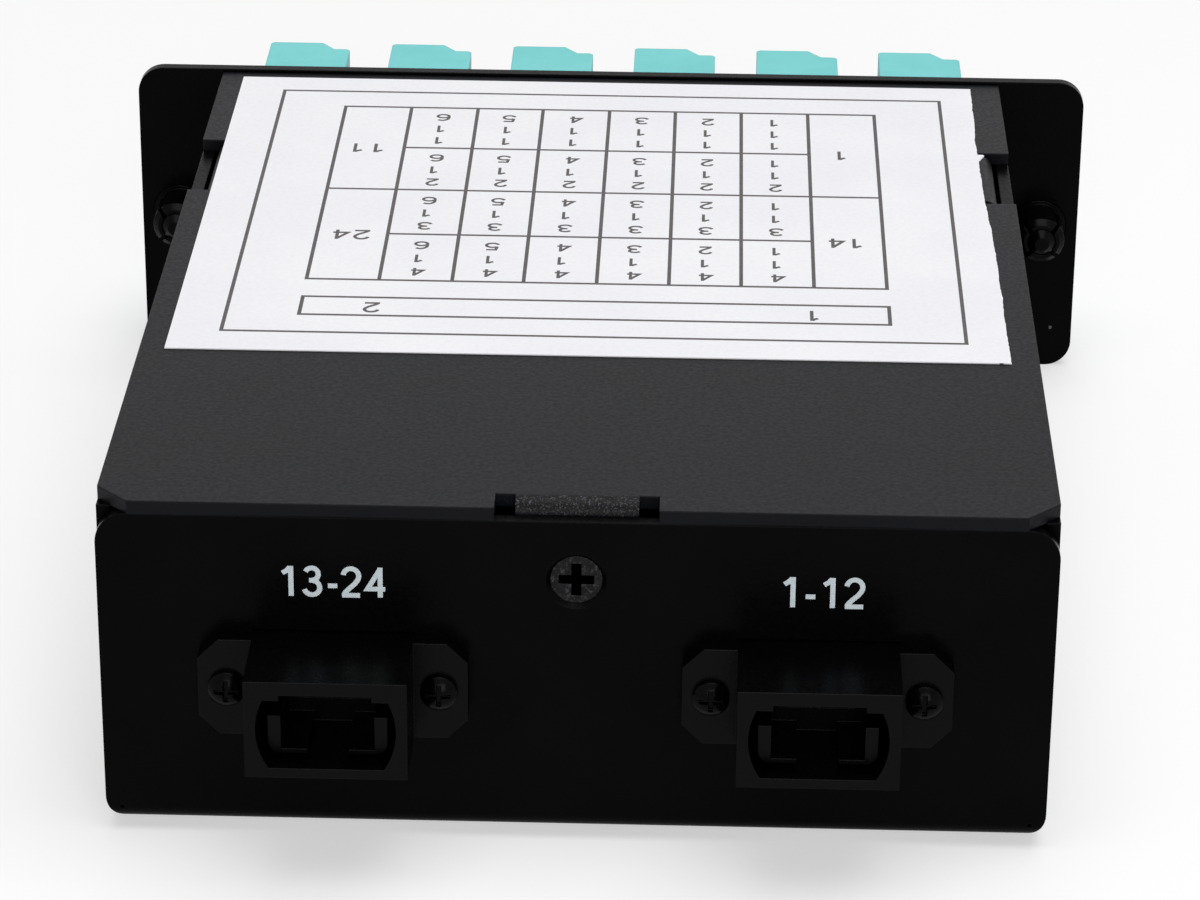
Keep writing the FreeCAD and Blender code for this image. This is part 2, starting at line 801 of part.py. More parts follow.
def make_mpo_adapter(side, sign):
    """One moulded adapter: flange, box, a port at each end and two latch hooks in the outer one."""
    body = new_body(f"mpo_adapter_{side}")
    place(body, f"{sign} * mpo_offset", "0", "mpo_level")
    box = new_sketch(body, "XZ_Plane", "box", "-mpo_outer_reach")
    add_rectangle(box, "-mpo_box_half", "-mpo_box_low", "mpo_box_half", "mpo_box_top")
    pad(body, box, "housing", "mpo_outer_reach + mpo_inner_reach")

    flange = new_sketch(body, "XZ_Plane", "flange", "-mpo_flange_thickness")
    wide = "mpo_flange_half"
    cut = "mpo_flange_chamfer"
    add_outline(flange, [
        (f"-({wide} - {cut})", "-mpo_box_low"),
        (f"{wide} - {cut}", "-mpo_box_low"),
        (wide, f"{cut} - mpo_box_low"),
        (wide, f"mpo_box_top - {cut}"),
        (f"{wide} - {cut}", "mpo_box_top"),
        (f"-({wide} - {cut})", "mpo_box_top"),
        (f"-{wide}", f"mpo_box_top - {cut}"),
        (f"-{wide}", f"{cut} - mpo_box_low"),
    ])
    pad(body, flange, "flange_plate", "mpo_flange_thickness")

    holes = new_sketch(body, "XZ_Plane", "holes", "-mpo_flange_thickness")
    for end in ("-1", "1"):
        add_circle(holes, f"{end} * mpo_screw_half", "0", "small_hole")
    pocket(body, holes, "screw_holes", "mpo_flange_thickness")

    outer = new_sketch(body, "XZ_Plane", "outer_port", "-mpo_outer_reach")
    add_opening(outer)
    pocket(body, outer, "outer_port_cut", "mpo_outer_reach - mpo_web_outer")

    inner = new_sketch(body, "XZ_Plane", "inner_port", "mpo_web_inner")
    add_opening(inner)
    pocket(body, inner, "inner_port_cut", "mpo_inner_reach - mpo_web_inner")

    gap = new_sketch(body, "XZ_Plane", "ferrule_gap", "-mpo_web_outer")
    across = "ferrule_gap_width / 2"
    up = "ferrule_gap_height / 2"
    add_rectangle(gap, f"-{across}", f"-{up}", across, up)
    pocket(body, gap, "ferrule_gap_cut", "mpo_web_outer + mpo_web_inner")

    hook = new_sketch(body, "XZ_Plane", "hook", "hook_recess - mpo_outer_reach")
    add_outline(hook, [
        ("hook_foot_end", "-hook_low"),
        ("hook_half - hook_bend", "-hook_low"),
        ("hook_half", "hook_bend - hook_low", "hook_bend"),
        ("hook_half", "hook_high"),
        ("hook_half - hook_width", "hook_high"),
        ("hook_half - hook_width", "hook_foot - hook_low"),
        ("hook_foot_end", "hook_foot - hook_low"),
    ])
    arm = pad(body, hook, "hook_arm", "mpo_outer_reach - hook_recess - mpo_web_outer")
    mirror(body, "other_hook", [arm])
    return body


def make_adapter_screw():
    """One domed screw of the multi-fibre adapters, its head's seat at Y = 0."""
    body = new_body("adapter_screw")
    revolve(body, "turned", [
        ("-small_head_height", "0", "small_dome"),
        ("small_screw_length", "0"),
        ("small_screw_length", "small_shank_radius"),
        ("0", "small_shank_radius"),
        ("0", "small_head_radius"),
        ("small_dome_rise - small_head_height", "small_head_radius"),
    ])
    recess = new_sketch(body, "XZ_Plane", "cross", "-small_head_height")
    add_cross(recess, "small_cross", "small_cross_width")
    pocket(body, recess, "recess", "small_cross_depth")
    return body


def make_adapter_nut():
    """One hexagon nut, its flats upright so that it clears the adapter's box."""
    body = new_body("adapter_nut")
    blank = new_sketch(body, "XZ_Plane", "hexagon")
    point = "nut_half * 2 / sqrt(3)"
    add_outline(blank, [
        ("0", f"-{point}"),
        ("nut_half", f"-{point} / 2"),
        ("nut_half", f"{point} / 2"),
        ("0", point),
        ("-nut_half", f"{point} / 2"),
        ("-nut_half", f"-{point} / 2"),
    ])
    pad(body, blank, "blank", "nut_thickness")
    bore = new_sketch(body, "XZ_Plane", "bore")
    add_circle(bore, "0", "0", "small_shank_radius + bore_play")
    pocket(body, bore, "thread_hole", "nut_thickness")
    return body


def adapter_screw_places(level):
    """Return the four places of the adapter screws, at a given Y."""
    places = []
    for _, sign in SIDES:
        for end in (-1, 1):
            x_text = f"{sign} * mpo_offset + {end} * mpo_screw_half"
            places.append((x_text, level, "mpo_level"))
    return places


def make_mpo_plug(side, sign):
    """The plug's housing, which fills the inner port with a small play."""
    body = new_body(f"mpo_plug_{side}")
    place(body, f"{sign} * mpo_offset", "0", "mpo_level")
    outline = new_sketch(body, "XZ_Plane", "outline", "mpo_web_inner + plug_play")
    add_opening(outline, "plug_play")
    pad(body, outline, "housing", "mpo_plug_end - mpo_web_inner - plug_play")
    bore = new_sketch(body, "XZ_Plane", "bore", "mpo_web_inner + plug_play")
    across = "(mt_width / 2 + mt_play)"
    up = "(mt_height / 2 + mt_play)"
    add_rectangle(bore, f"-{across}", f"-{up}", across, up)
    pocket(body, bore, "ferrule_bore", "mpo_plug_end - mpo_web_inner - plug_play")
    return body


def make_mpo_ferrule(side, sign):
    """The plug's ferrule, with its two guide-pin holes."""
    body = new_body(f"mpo_ferrule_{side}")
    place(body, f"{sign} * mpo_offset", "mt_play", "mpo_level")
    block = new_sketch(body, "XZ_Plane", "block")
    add_rectangle(block, "-mt_width / 2", "-mt_height / 2", "mt_width / 2", "mt_height / 2")
    pad(body, block, "moulding", "mt_length")
    pins = new_sketch(body, "XZ_Plane", "pins")
    for end in ("-1", "1"):
        add_circle(pins, f"{end} * guide_pin_spacing / 2", "0", "guide_pin_radius")
    pocket(body, pins, "pin_holes", "mt_length")
    return body


def make_mpo_boot(side, sign):
    """The tapered boot behind the plug, ribbed so that it bends."""
    body = new_body(f"mpo_boot_{side}")
    place(body, f"{sign} * mpo_offset", "mpo_plug_end", "mpo_level")
    bore = "trunk_radius + bore_play"
    rib = "mpo_boot_length / 8"
    revolve(body, "moulding", [
        ("0", bore),
        ("mpo_boot_length", bore),
        ("mpo_boot_length", "mpo_boot_small"),
        (f"6 * {rib}", "mpo_boot_small"),
        (f"6 * {rib}", "mpo_boot_small + 0.3 * (mpo_boot_big - mpo_boot_small)"),
        (f"5 * {rib}", "mpo_boot_small + 0.3 * (mpo_boot_big - mpo_boot_small)"),
        (f"5 * {rib}", "mpo_boot_small"),
        (f"4 * {rib}", "mpo_boot_small"),
        (f"4 * {rib}", "mpo_boot_small + 0.6 * (mpo_boot_big - mpo_boot_small)"),
        (f"3 * {rib}", "mpo_boot_small + 0.6 * (mpo_boot_big - mpo_boot_small)"),
        (f"3 * {rib}", "mpo_boot_small"),
        (f"2 * {rib}", "mpo_boot_small"),
        (f"2 * {rib}", "mpo_boot_big"),
        ("0", "mpo_boot_big"),
    ])
    return body


def make_trunk(side, sign):
    """The straight trunk tube from inside the boot to its seat in the fan-out."""
    tube = document.addObject("Part::Cylinder", f"trunk_tube_{side}")
    tube.Label = tube.Name
    tube.setExpression("Radius", bound("trunk_radius"))
    start = "mpo_plug_end + end_gap"
    tube.setExpression("Height", bound(f"fanout_rear + fanout_seat - end_gap - ({start})"))
    along = FreeCAD.Rotation(FreeCAD.Vector(1, 0, 0), -90)
    tube.Placement = FreeCAD.Placement(FreeCAD.Vector(), along)
    place(tube, f"{sign} * mpo_offset", start, "mpo_level")
    return tube


def make_fanout(side, sign):
    """The block where the trunk ends and the single fibres leave, in columns and rows."""
    body = new_body(f"fanout_block_{side}")
    place(body, f"{sign} * mpo_offset", "fanout_rear", "mpo_level")
    block = new_sketch(body, "XZ_Plane", "block")
    add_rectangle(block, "-fanout_half_x", "-fanout_half_z", "fanout_half_x", "fanout_half_z")
    pad(body, block, "moulding", "fanout_length")
    entry = new_sketch(body, "XZ_Plane", "entry")
    add_circle(entry, "0", "0", "trunk_radius + bore_play")
    pocket(body, entry, "entry_bore", "fanout_seat")
    exits = new_sketch(body, "XZ_Plane", "exit", "fanout_length - fibre_seat")
    first_x = f"{-(FAN_COLUMNS - 1) / 2} * fanout_pitch_x"
    first_z = f"{-(LC_PORTS - 1) / 2} * fanout_pitch_z"
    add_circle(exits, first_x, first_z, "exit_radius")
    cut = pocket(body, exits, "exit_bore", "fibre_seat")
    transform_many(body, "exit_grid", cut, [
        ("LinearPattern", "X_Axis", "fanout_pitch_x", FAN_COLUMNS),
        ("LinearPattern", "Z_Axis", "fanout_pitch_z", LC_PORTS),
    ])
    return body


def make_cradle(side, sign):
    """The moulded cradle on the floor that grips the fan-out block."""
    body = new_body(f"fanout_cradle_{side}")
    middle = "fanout_rear + (fanout_length - cradle_length) / 2"
    place(body, f"{sign} * mpo_offset", middle, "sheet_thickness")
    profile = new_sketch(body, "XZ_Plane", "profile")
    seat = "mpo_level - fanout_half_z - sheet_thickness"
    slot = "fanout_half_x + cradle_play"
    outside = f"{slot} + cradle_wall"
    foot = f"{outside} + cradle_foot"
    add_outline(profile, [
        (f"-({foot})", "0"),
        (foot, "0"),
        (foot, "cradle_base"),
        (outside, "cradle_base"),
        (outside, f"{seat} + 2 * fanout_half_z - cradle_grip"),
        (slot, f"{seat} + 2 * fanout_half_z - cradle_grip"),
        (slot, seat),
        (f"-({slot})", seat),
        (f"-({slot})", f"{seat} + 2 * fanout_half_z - cradle_grip"),
        (f"-({outside})", f"{seat} + 2 * fanout_half_z - cradle_grip"),
        (f"-({outside})", "cradle_base"),
        (f"-({foot})", "cradle_base"),
    ])
    pad(body, profile, "moulding", "cradle_length")
    window = new_sketch(body, "XZ_Plane", "window")
    add_rectangle(window, "-fanout_half_x", "cradle_base", "fanout_half_x", f"{seat} - cradle_base")
    pocket(body, window, "window_cut", "cradle_length")
    return body


# ---------------------------------------------------------------- quad LC adapters


def make_lc_adapter(column):
    """One quad adapter: stepped body, flange, clip recess, and four ports that run right through.

    Its local origin is the middle of the flange's seat on the panel's front face.
    """
    body = new_body(f"lc_adapter_{column + 1}")
    place(body, column_x(column), "panel_front", "port_level")
    half = "lc_width / 2"
    tall = "lc_height / 2"
    step_start = "port_x + port_side / 2 + lc_step_margin"
    step_end = f"{step_start} + lc_step_slope"
    corner = "lc_corner"
    plan = new_sketch(body, "XY_Plane", "plan", f"-{tall}")
    add_outline(plan, [
        (f"-({half} - {corner})", "-lc_reach", corner),
        (step_start, "-lc_reach"),
        (step_end, "lc_step - lc_reach"),
        (f"{half} - {corner}", "lc_step - lc_reach"),
        (half, f"lc_step - lc_reach + {corner}", corner),
        (half, f"lc_reach - lc_step - {corner}"),
        (f"{half} - {corner}", "lc_reach - lc_step", corner),
        (step_end, "lc_reach - lc_step"),
        (step_start, "lc_reach"),
        (f"-({half} - {corner})", "lc_reach"),
        (f"-{half}", f"lc_reach - {corner}", corner),
        (f"-{half}", f"{corner} - lc_reach"),
    ])
    pad(body, plan, "housing", "lc_height")

    flange = new_sketch(body, "XZ_Plane", "flange")
    wide = f"({half} + lc_flange_lip)"
    high = f"({tall} + lc_flange_lip)"
    add_rectangle(flange, f"-{wide}", f"-{high}", wide, high)
    pad(body, flange, "flange_rim", "lc_flange_thickness")

    recess = new_sketch(body, "XZ_Plane", "recess", "-clip_rear")
    add_saddle(recess, "clip_recess", f"{half} + lc_flange_lip", f"{tall} + lc_flange_lip", "clip_play")
    pocket(body, recess, "clip_seat", "clip_rear - sheet_thickness")

    port = new_sketch(body, "XZ_Plane", "port", "-lc_reach")
    add_port(port, "port_x", "port_low")
    cut = pocket(body, port, "port_cut", "2 * lc_reach")
    repeat(body, "ports", cut, "Z_Axis", "port_pitch", LC_PORTS)
    return body


def add_port(drawing, x_text="0", z_text="0", play="0"):
    """Draw one LC port about a point: a square with the latch's slot on its right."""
    half = f"(port_side / 2 - {play})"
    slot = f"(latch_slot / 2 - {play})"
    right = f"{x_text} + {half}"
    roof = f"{x_text} + port_side / 2 + latch_rise - {play}"
    add_outline(drawing, [
        (f"{x_text} - {half}", f"{z_text} - {half}"),
        (right, f"{z_text} - {half}"),
        (right, f"{z_text} - {slot}"),
        (roof, f"{z_text} - {slot}"),
        (roof, f"{z_text} + {slot}"),
        (right, f"{z_text} + {slot}"),
        (right, f"{z_text} + {half}"),
        (f"{x_text} - {half}", f"{z_text} + {half}"),
    ])


def add_saddle(drawing, depth, out_x, out_z, low_play="0"):
    """Draw a saddle over the adapter's top: a bridge and two legs, that deep into its sides."""
    inside = f"(lc_width / 2 - {depth})"
    under = f"(lc_height / 2 - {depth})"
    low = f"(lc_height / 2 - clip_drop - {low_play})"
    add_outline(drawing, [
        (f"-({out_x})", low),
        (f"-{inside}", low),
        (f"-{inside}", under),
        (inside, under),
        (inside, low),
        (out_x, low),
        (out_x, out_z),
        (f"-({out_x})", out_z),
    ])


def make_lc_clip(column):
    """The steel saddle clip of one adapter, with a flared tongue on each leg behind the panel."""
    body = new_body(f"lc_clip_{column + 1}")
    place(body, column_x(column), "panel_front", "port_level")
    outside = "lc_width / 2 - clip_recess + clip_thickness"
    saddle = new_sketch(body, "XZ_Plane", "saddle", "-clip_rear")
    add_saddle(saddle, "clip_recess", outside, "lc_height / 2 - clip_recess + clip_thickness")
    pad(body, saddle, "strip", "clip_length")

    tongue = new_sketch(body, "XY_Plane", "tongue", "(lc_height - clip_drop - clip_tongue_width) / 2")
    add_outline(tongue, [
        (outside, "-clip_front - clip_tongue"),
        (f"{outside} + clip_flare", "-clip_front"),
        (f"{outside} + clip_flare - clip_thickness", "-clip_front"),
        (outside, "-clip_front - 0.66 * clip_tongue"),
    ])
    flare = pad(body, tongue, "spring_tongue", "clip_tongue_width")
    mirror(body, "other_tongue", [flare])
    return body


def make_sleeve_holder():
    """One sleeve holder: a plate that fills the port's middle, and a tube through it for the sleeve."""
    body = new_body("lc_sleeve_holder")
    plate = new_sketch(body, "XZ_Plane", "plate", "-holder_plate_half")
    add_port(plate, play="holder_play")
    pad(body, plate, "plate_moulding", "2 * holder_plate_half")
    tube = new_sketch(body, "XZ_Plane", "tube", "-holder_half")
    add_circle(tube, "0", "0", "holder_tube_radius")
    pad(body, tube, "tube_moulding", "2 * holder_half")
    bore = new_sketch(body, "XZ_Plane", "bore", "-holder_half")
    add_circle(bore, "0", "0", "sleeve_radius + bore_play")
    pocket(body, bore, "sleeve_bore", "2 * holder_half")
    return body


def make_sleeve():
    """One slit alignment sleeve, centred on the adapter's middle."""
    body = new_body("alignment_sleeve")
    ring = new_sketch(body, "XZ_Plane", "ring", "-sleeve_half")
    add_circle(ring, "0", "0", "sleeve_radius")
    add_circle(ring, "0", "0", "sleeve_inner")
    pad(body, ring, "tube", "2 * sleeve_half")
    slit = new_sketch(body, "XZ_Plane", "slit", "-sleeve_half")
    add_rectangle(slit, "-sleeve_slit / 2", "0", "sleeve_slit / 2", "2 * sleeve_radius")
    pocket(body, slit, "slit_cut", "2 * sleeve_half")
    return body


def make_lc_ferrule():
    """One ferrule of an LC plug, its tip at the adapter's middle."""
    body = new_body("lc_ferrule")
    revolve(body, "ground", [
        ("-lc_ferrule_length", "0"),
        ("-bore_play", "0"),
        ("-bore_play", "lc_ferrule_radius * 0.6"),
        ("-bore_play - lc_ferrule_radius * 0.4", "lc_ferrule_radius"),
        ("-lc_ferrule_length", "lc_ferrule_radius"),
    ])
    return body


def make_lc_plug():
    """One LC plug's housing with its moulded latch arm, its hollow nose round the holder's tube."""
    body = new_body("lc_plug")
    half = "(port_side / 2 - lc_plug_play)"
    nose = "(holder_plate_half + lc_nose_gap)"
    housing = new_sketch(body, "XZ_Plane", "housing", "-lc_plug_back")
    add_rectangle(housing, f"-{half}", f"-{half}", half, half)
    pad(body, housing, "moulding", f"lc_plug_back - {nose}")

    hollow = new_sketch(body, "XZ_Plane", "hollow", "-(holder_half + lc_nose_gap)")
    add_circle(hollow, "0", "0", "holder_tube_radius + lc_nose_play")
    pocket(body, hollow, "nose_hollow", "holder_half - holder_plate_half")

    arm = new_sketch(body, "XY_Plane", "latch", "-latch_width / 2")
    root = "-(holder_half + 2 * latch_thickness)"
    tail = "-(lc_plug_back - latch_thickness)"
    add_outline(arm, [
        (f"{half} - latch_thickness / 4", f"{root} - 2 * latch_thickness"),
        (f"{half} + latch_lift - latch_thickness", tail),
        (f"{half} + latch_lift", tail),
        (f"{half} + latch_thickness", root),
        (f"{half} - latch_thickness / 4", root),
    ])
    pad(body, arm, "latch_arm", "latch_width")

    bore = new_sketch(body, "XZ_Plane", "bore", "-lc_plug_back")
    add_circle(bore, "0", "0", "lc_ferrule_radius + bore_play")
    pocket(body, bore, "ferrule_bore", "lc_plug_back - holder_half - lc_nose_gap")
    return body


def make_lc_boot():
    """One short boot, its front face on the plug's rear face at Y = 0."""
    body = new_body("lc_boot")
    groove = "lc_boot_length / 5"
    revolve(body, "moulding", [
        ("-lc_boot_length", "exit_radius"),
        ("0", "exit_radius"),
        ("0", "lc_boot_big"),
        (f"-{groove}", "lc_boot_big"),
        (f"-{groove}", "lc_boot_small"),
        (f"-2 * {groove}", "lc_boot_small"),
        (f"-2 * {groove}", "(lc_boot_big + lc_boot_small) / 2"),
        (f"-3 * {groove}", "(lc_boot_big + lc_boot_small) / 2"),
        (f"-3 * {groove}", "lc_boot_small"),
        ("-lc_boot_length", "lc_boot_small"),
    ])
    return body


def column_x(column):
    """Return the X of one adapter's middle."""
    return f"{column - (LC_COLUMNS - 1) / 2} * lc_pitch"


def port_places(column, y_text):
    """Return the four ports' places in one adapter, at a given Y."""
    places = []
    for port in range(LC_PORTS):
        z_text = f"port_level + {port - (LC_PORTS - 1) / 2} * port_pitch"
        places.append((f"{column_x(column)} + port_x", y_text, z_text))
    return places


# ---------------------------------------------------------------- fibres


def fibre_route(column, port):
    """Return the four points of one fibre, from its fan-out exit into its boot."""
    sign = -1 if column < FAN_COLUMNS else 1
    place_in_fan = column % FAN_COLUMNS - (FAN_COLUMNS - 1) / 2
    row = port - (LC_PORTS - 1) / 2
    start_x = number(f"{sign} * mpo_offset + {place_in_fan} * fanout_pitch_x")
    start_z = number(f"mpo_level + {row} * fanout_pitch_z")
    end_x = number(f"{column_x(column)} + port_x")
    end_z = number(f"port_level + {row} * port_pitch")
    start_y = number("fanout_front - fibre_seat + end_gap")
    end_y = number("fibre_end + fibre_seat")
    lead = number("fibre_lead")
    return [
        FreeCAD.Vector(start_x, start_y, start_z),
        FreeCAD.Vector(start_x, start_y + lead, start_z),
        FreeCAD.Vector(end_x, end_y - lead, end_z),
        FreeCAD.Vector(end_x, end_y, end_z),
    ]


def rounded_path(points):
    """Return a wire of straight runs and tangent arcs, each arc as large as its runs allow, and the
    smallest of the arcs' radii."""
    edges = []
    radii = []
    last = points[0]
    for before, corner, after in zip(points, points[1:], points[2:]):
        back = before - corner
        onward = after - corner
        half_turn = (math.pi - back.getAngle(onward)) / 2
        reach = 0.45 * min(back.Length, onward.Length)
        radius = reach / math.tan(half_turn)
        entry = corner + back.normalize() * reach
        leave = corner + onward.normalize() * reach
        inward = (back + onward).normalize()
        crown = corner + inward * (radius / math.cos(half_turn) - radius)
        edges.append(Part.LineSegment(last, entry).toShape())
        edges.append(Part.Arc(entry, crown, leave).toShape())
        radii.append(radius)
        last = leave
    edges.append(Part.LineSegment(last, points[-1]).toShape())
    return Part.Wire(edges), min(radii)


def make_tube(points, radius):
    """Sweep a round section along the rounded path and check the tube's volume."""
    path, smallest = rounded_path(points)
    section = Part.Wire(Part.Circle(points[0], points[1] - points[0], radius).toShape())
    tube = path.makePipeShell([section], True, True)
    expected = math.pi * radius**2 * path.Length
    if abs(tube.Volume - expected) > 0.01 * expected:
        raise RuntimeError(f"tube volume {tube.Volume:.2f}, expected {expected:.2f}")
    return tube, smallest, path.Length


def make_fibres(column):
    """The four fibres of one adapter, along their real routes."""
    tubes = []
    for port in range(LC_PORTS):
        tube, smallest, length = make_tube(fibre_route(column, port), number("fibre_radius"))
        print(f"fibre {column + 1}.{port + 1}: smallest radius {smallest:.1f}, length {length:.1f}")
        tubes.append(tube)
    fibres = document.addObject("Part::Feature", f"fibres_{column + 1}")
    fibres.Label = fibres.Name
    fibres.Shape = Part.makeCompound(tubes)
    place(fibres)
    return fibres


# ---------------------------------------------------------------- push-pull latches


def make_grommet(side, sign):
    """The split grommet in one ear: flange in front, collar in the ear's hole, four legs behind."""
    body = new_body(f"latch_grommet_{side}")
    place(body, f"{sign} * latch_x", "panel_front", "panel_middle")
    revolve(body, "moulding", [
        ("-grommet_rear", "pin_radius + pin_play"),
        ("grommet_flange", "pin_radius + pin_play"),
        ("grommet_flange", "grommet_flange_radius - grommet_edge"),
        ("grommet_flange - grommet_edge", "grommet_flange_radius"),
        ("0", "grommet_flange_radius"),
        ("0", "grommet_collar"),
        ("-sheet_thickness", "grommet_collar"),
        ("-sheet_thickness", "grommet_radius"),
        ("grommet_tip - grommet_rear", "grommet_radius"),
        ("-grommet_rear", "grommet_radius - grommet_tip"),
    ])
    slots = new_sketch(body, "XZ_Plane", "slots", "-grommet_rear")
    slots.setExpression("AttachmentOffset.Rotation.Angle", bound("grommet_slot_turn"))
    add_cross(slots, "grommet_flange_radius", "grommet_slot")
    pocket(body, slots, "leg_slots", "grommet_behind - grommet_root")
    return body


def make_plunger(side, sign):
    """The plunger of one latch: waisted knob in front and a pin through the grommet."""
    body = new_body(f"latch_plunger_{side}")
    place(body, f"{sign} * latch_x", "panel_front", "panel_middle")
    knob = "grommet_flange + knob_gap"
    end = f"{knob} + knob_length"
    revolve(body, "moulding", [
        ("-(grommet_rear + pin_tip)", "0"),
        (end, "0"),
        (end, "knob_radius - pin_tip"),
        (f"{end} - pin_tip", "knob_radius"),
        (f"{end} - 0.3 * knob_length", "knob_radius"),
        (f"{end} - 0.45 * knob_length", "knob_waist"),
        (f"{knob} + 0.2 * knob_length", "knob_waist"),
        (knob, "knob_radius"),
        (knob, "pin_radius"),
        ("-grommet_rear", "pin_radius"),
        ("-(grommet_rear + pin_tip)", "pin_radius - pin_tip"),
    ])
    return body


# ---------------------------------------------------------------- assembly and export


def make_case():
    """Return the case, its cover and what fastens and marks it."""
    return [make_base_tray(), make_cover(), make_label(), make_cover_screw()]


def make_rear_side():
    """Return everything on the multi-fibre adapters' side."""
    parts = []
    for side, sign in SIDES:
        parts.append(make_mpo_adapter(side, sign))
        parts.append(make_mpo_plug(side, sign))
        parts.append(make_mpo_ferrule(side, sign))
        parts.append(make_mpo_boot(side, sign))
        parts.append(make_trunk(side, sign))
        parts.append(make_fanout(side, sign))
        parts.append(make_cradle(side, sign))
    screws = adapter_screw_places("-mpo_flange_thickness")
    parts.append(group_copies("mpo_adapter_screws", make_adapter_screw(), screws))
    nuts = adapter_screw_places("sheet_thickness")
    parts.append(group_copies("mpo_adapter_nuts", make_adapter_nut(), nuts))
    return parts


def make_front_side():
    """Return everything on the LC adapters' side."""
    parts = []
    plug = make_lc_plug()
    boot = make_lc_boot()
    middles = []
    for column in range(LC_COLUMNS):
        at_seat = port_places(column, "panel_front")
        at_plug_end = port_places(column, "fibre_end + lc_boot_length")
        parts.append(make_lc_adapter(column))
        parts.append(make_lc_clip(column))
        parts.append(group_copies(f"lc_plugs_{column + 1}", plug, at_seat))
        parts.append(group_copies(f"lc_boots_{column + 1}", boot, at_plug_end))
        parts.append(make_fibres(column))
        middles += at_seat
    parts.append(group_copies("lc_sleeve_holders", make_sleeve_holder(), middles))
    parts.append(group_copies("alignment_sleeves", make_sleeve(), middles))
    parts.append(group_copies("lc_ferrules", make_lc_ferrule(), middles))
    return parts


def make_latches():
    """Return the two push-pull latches."""
    parts = []
    for side, sign in SIDES:
        parts.append(make_grommet(side, sign))
        parts.append(make_plunger(side, sign))
    return parts


def check_features():
    """Stop if any object failed, or if a pocket or groove cut nothing."""
    for item in document.Objects:
        if "Invalid" in item.State or "Error" in item.State:
            raise RuntimeError(f"{item.Name}: {item.State}")
        if item.TypeId in ("PartDesign::Pocket", "PartDesign::Groove"):
            if item.Shape.Volume > item.BaseFeature.Shape.Volume - 1e-6:
                raise RuntimeError(f"{item.Name} cuts nothing")


def export(parts):
    """Check each sub-part's shape and write it to its own file."""
    os.makedirs("parts", exist_ok=True)
    for part in parts:
        shape = part.Shape
        if shape.isNull() or not shape.isValid():
            raise RuntimeError(f"{part.Label} has no valid shape")
    for part in parts:
        part.Shape.exportStep(f"parts/{part.Label}.step")
        print(f"{part.Label}: {len(part.Shape.Solids)} solids, {part.Shape.Volume:.1f} mm3")


document = FreeCAD.newDocument("fibre_cassette")
make_sheet()
derived = make_derived()
sub_parts = make_case() + make_rear_side() + make_front_side() + make_latches()
document.recompute()
check_features()
export(sub_parts)
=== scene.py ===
import json
import math

import bmesh
import bpy
import numpy as np
from mathutils import Matrix, Vector


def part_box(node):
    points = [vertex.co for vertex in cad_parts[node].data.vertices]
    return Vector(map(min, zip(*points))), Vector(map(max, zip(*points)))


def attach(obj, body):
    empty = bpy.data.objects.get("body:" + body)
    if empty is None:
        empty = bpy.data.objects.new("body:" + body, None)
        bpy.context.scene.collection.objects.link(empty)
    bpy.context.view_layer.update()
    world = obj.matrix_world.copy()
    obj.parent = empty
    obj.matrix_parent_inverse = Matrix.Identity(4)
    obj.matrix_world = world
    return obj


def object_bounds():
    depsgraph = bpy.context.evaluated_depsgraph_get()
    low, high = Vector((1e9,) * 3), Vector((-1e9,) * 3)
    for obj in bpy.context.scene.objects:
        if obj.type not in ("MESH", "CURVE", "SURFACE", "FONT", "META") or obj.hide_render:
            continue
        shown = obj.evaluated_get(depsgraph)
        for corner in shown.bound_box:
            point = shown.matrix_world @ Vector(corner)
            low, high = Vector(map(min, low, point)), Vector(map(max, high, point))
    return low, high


MM = 0.001
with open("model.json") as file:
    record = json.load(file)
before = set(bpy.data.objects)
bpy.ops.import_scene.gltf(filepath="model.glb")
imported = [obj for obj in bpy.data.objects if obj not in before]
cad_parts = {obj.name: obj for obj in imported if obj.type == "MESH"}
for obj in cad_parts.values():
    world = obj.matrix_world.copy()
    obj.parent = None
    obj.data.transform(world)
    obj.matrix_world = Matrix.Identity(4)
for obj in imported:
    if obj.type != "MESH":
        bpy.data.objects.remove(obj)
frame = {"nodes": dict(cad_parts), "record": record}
CAD_LOW, CAD_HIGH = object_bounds()
REAR_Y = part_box("base_tray")[0].y
COVER_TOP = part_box("cover")[1].z
LABEL_LOW, LABEL_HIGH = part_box("cover_label")
LABEL_TOP = LABEL_HIGH.z
SCREW_FACE_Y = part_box("cover_screw")[0].y
CASE_HEIGHT = 32.9
FLOOR_UNDERSIDE = COVER_TOP - CASE_HEIGHT * MM
PRINT_HEIGHT = 0.02 * MM
STROKE_STEP = 0.4e-6


def case(x, y, z):
    """Turn millimetres from the rear wall's face and the case's underside into frame metres."""
    return Vector((x * MM, REAR_Y + y * MM, FLOOR_UNDERSIDE + z * MM))


# ---------------------------------------------------------------- colours and nodes

# The places of a Mix node's factor and of its two colours among its sockets, and of its result.
FACTOR, UNDER, OVER, MIXED = 0, 6, 7, 2

def linear(hex_colour):
    """Return the linear RGBA of an sRGB hex colour."""
    channels = []
    for start in (1, 3, 5):
        value = int(hex_colour[start:start + 2], 16) / 255
        curved = ((value + 0.055) / 1.055) ** 2.4
        channels.append(value / 12.92 if value <= 0.04045 else curved)
    return (*channels, 1.0)


def add(tree, kind, links=None, values=None, **settings):
    """Add a node, with its settings, its sockets' values and its links from other outputs."""
    node = tree.nodes.new(kind)
    for name, value in settings.items():
        setattr(node, name, value)
    for socket, value in (values or {}).items():
        node.inputs[socket].default_value = value
    for socket, source in (links or {}).items():
        tree.links.new(source, node.inputs[socket])
    return node


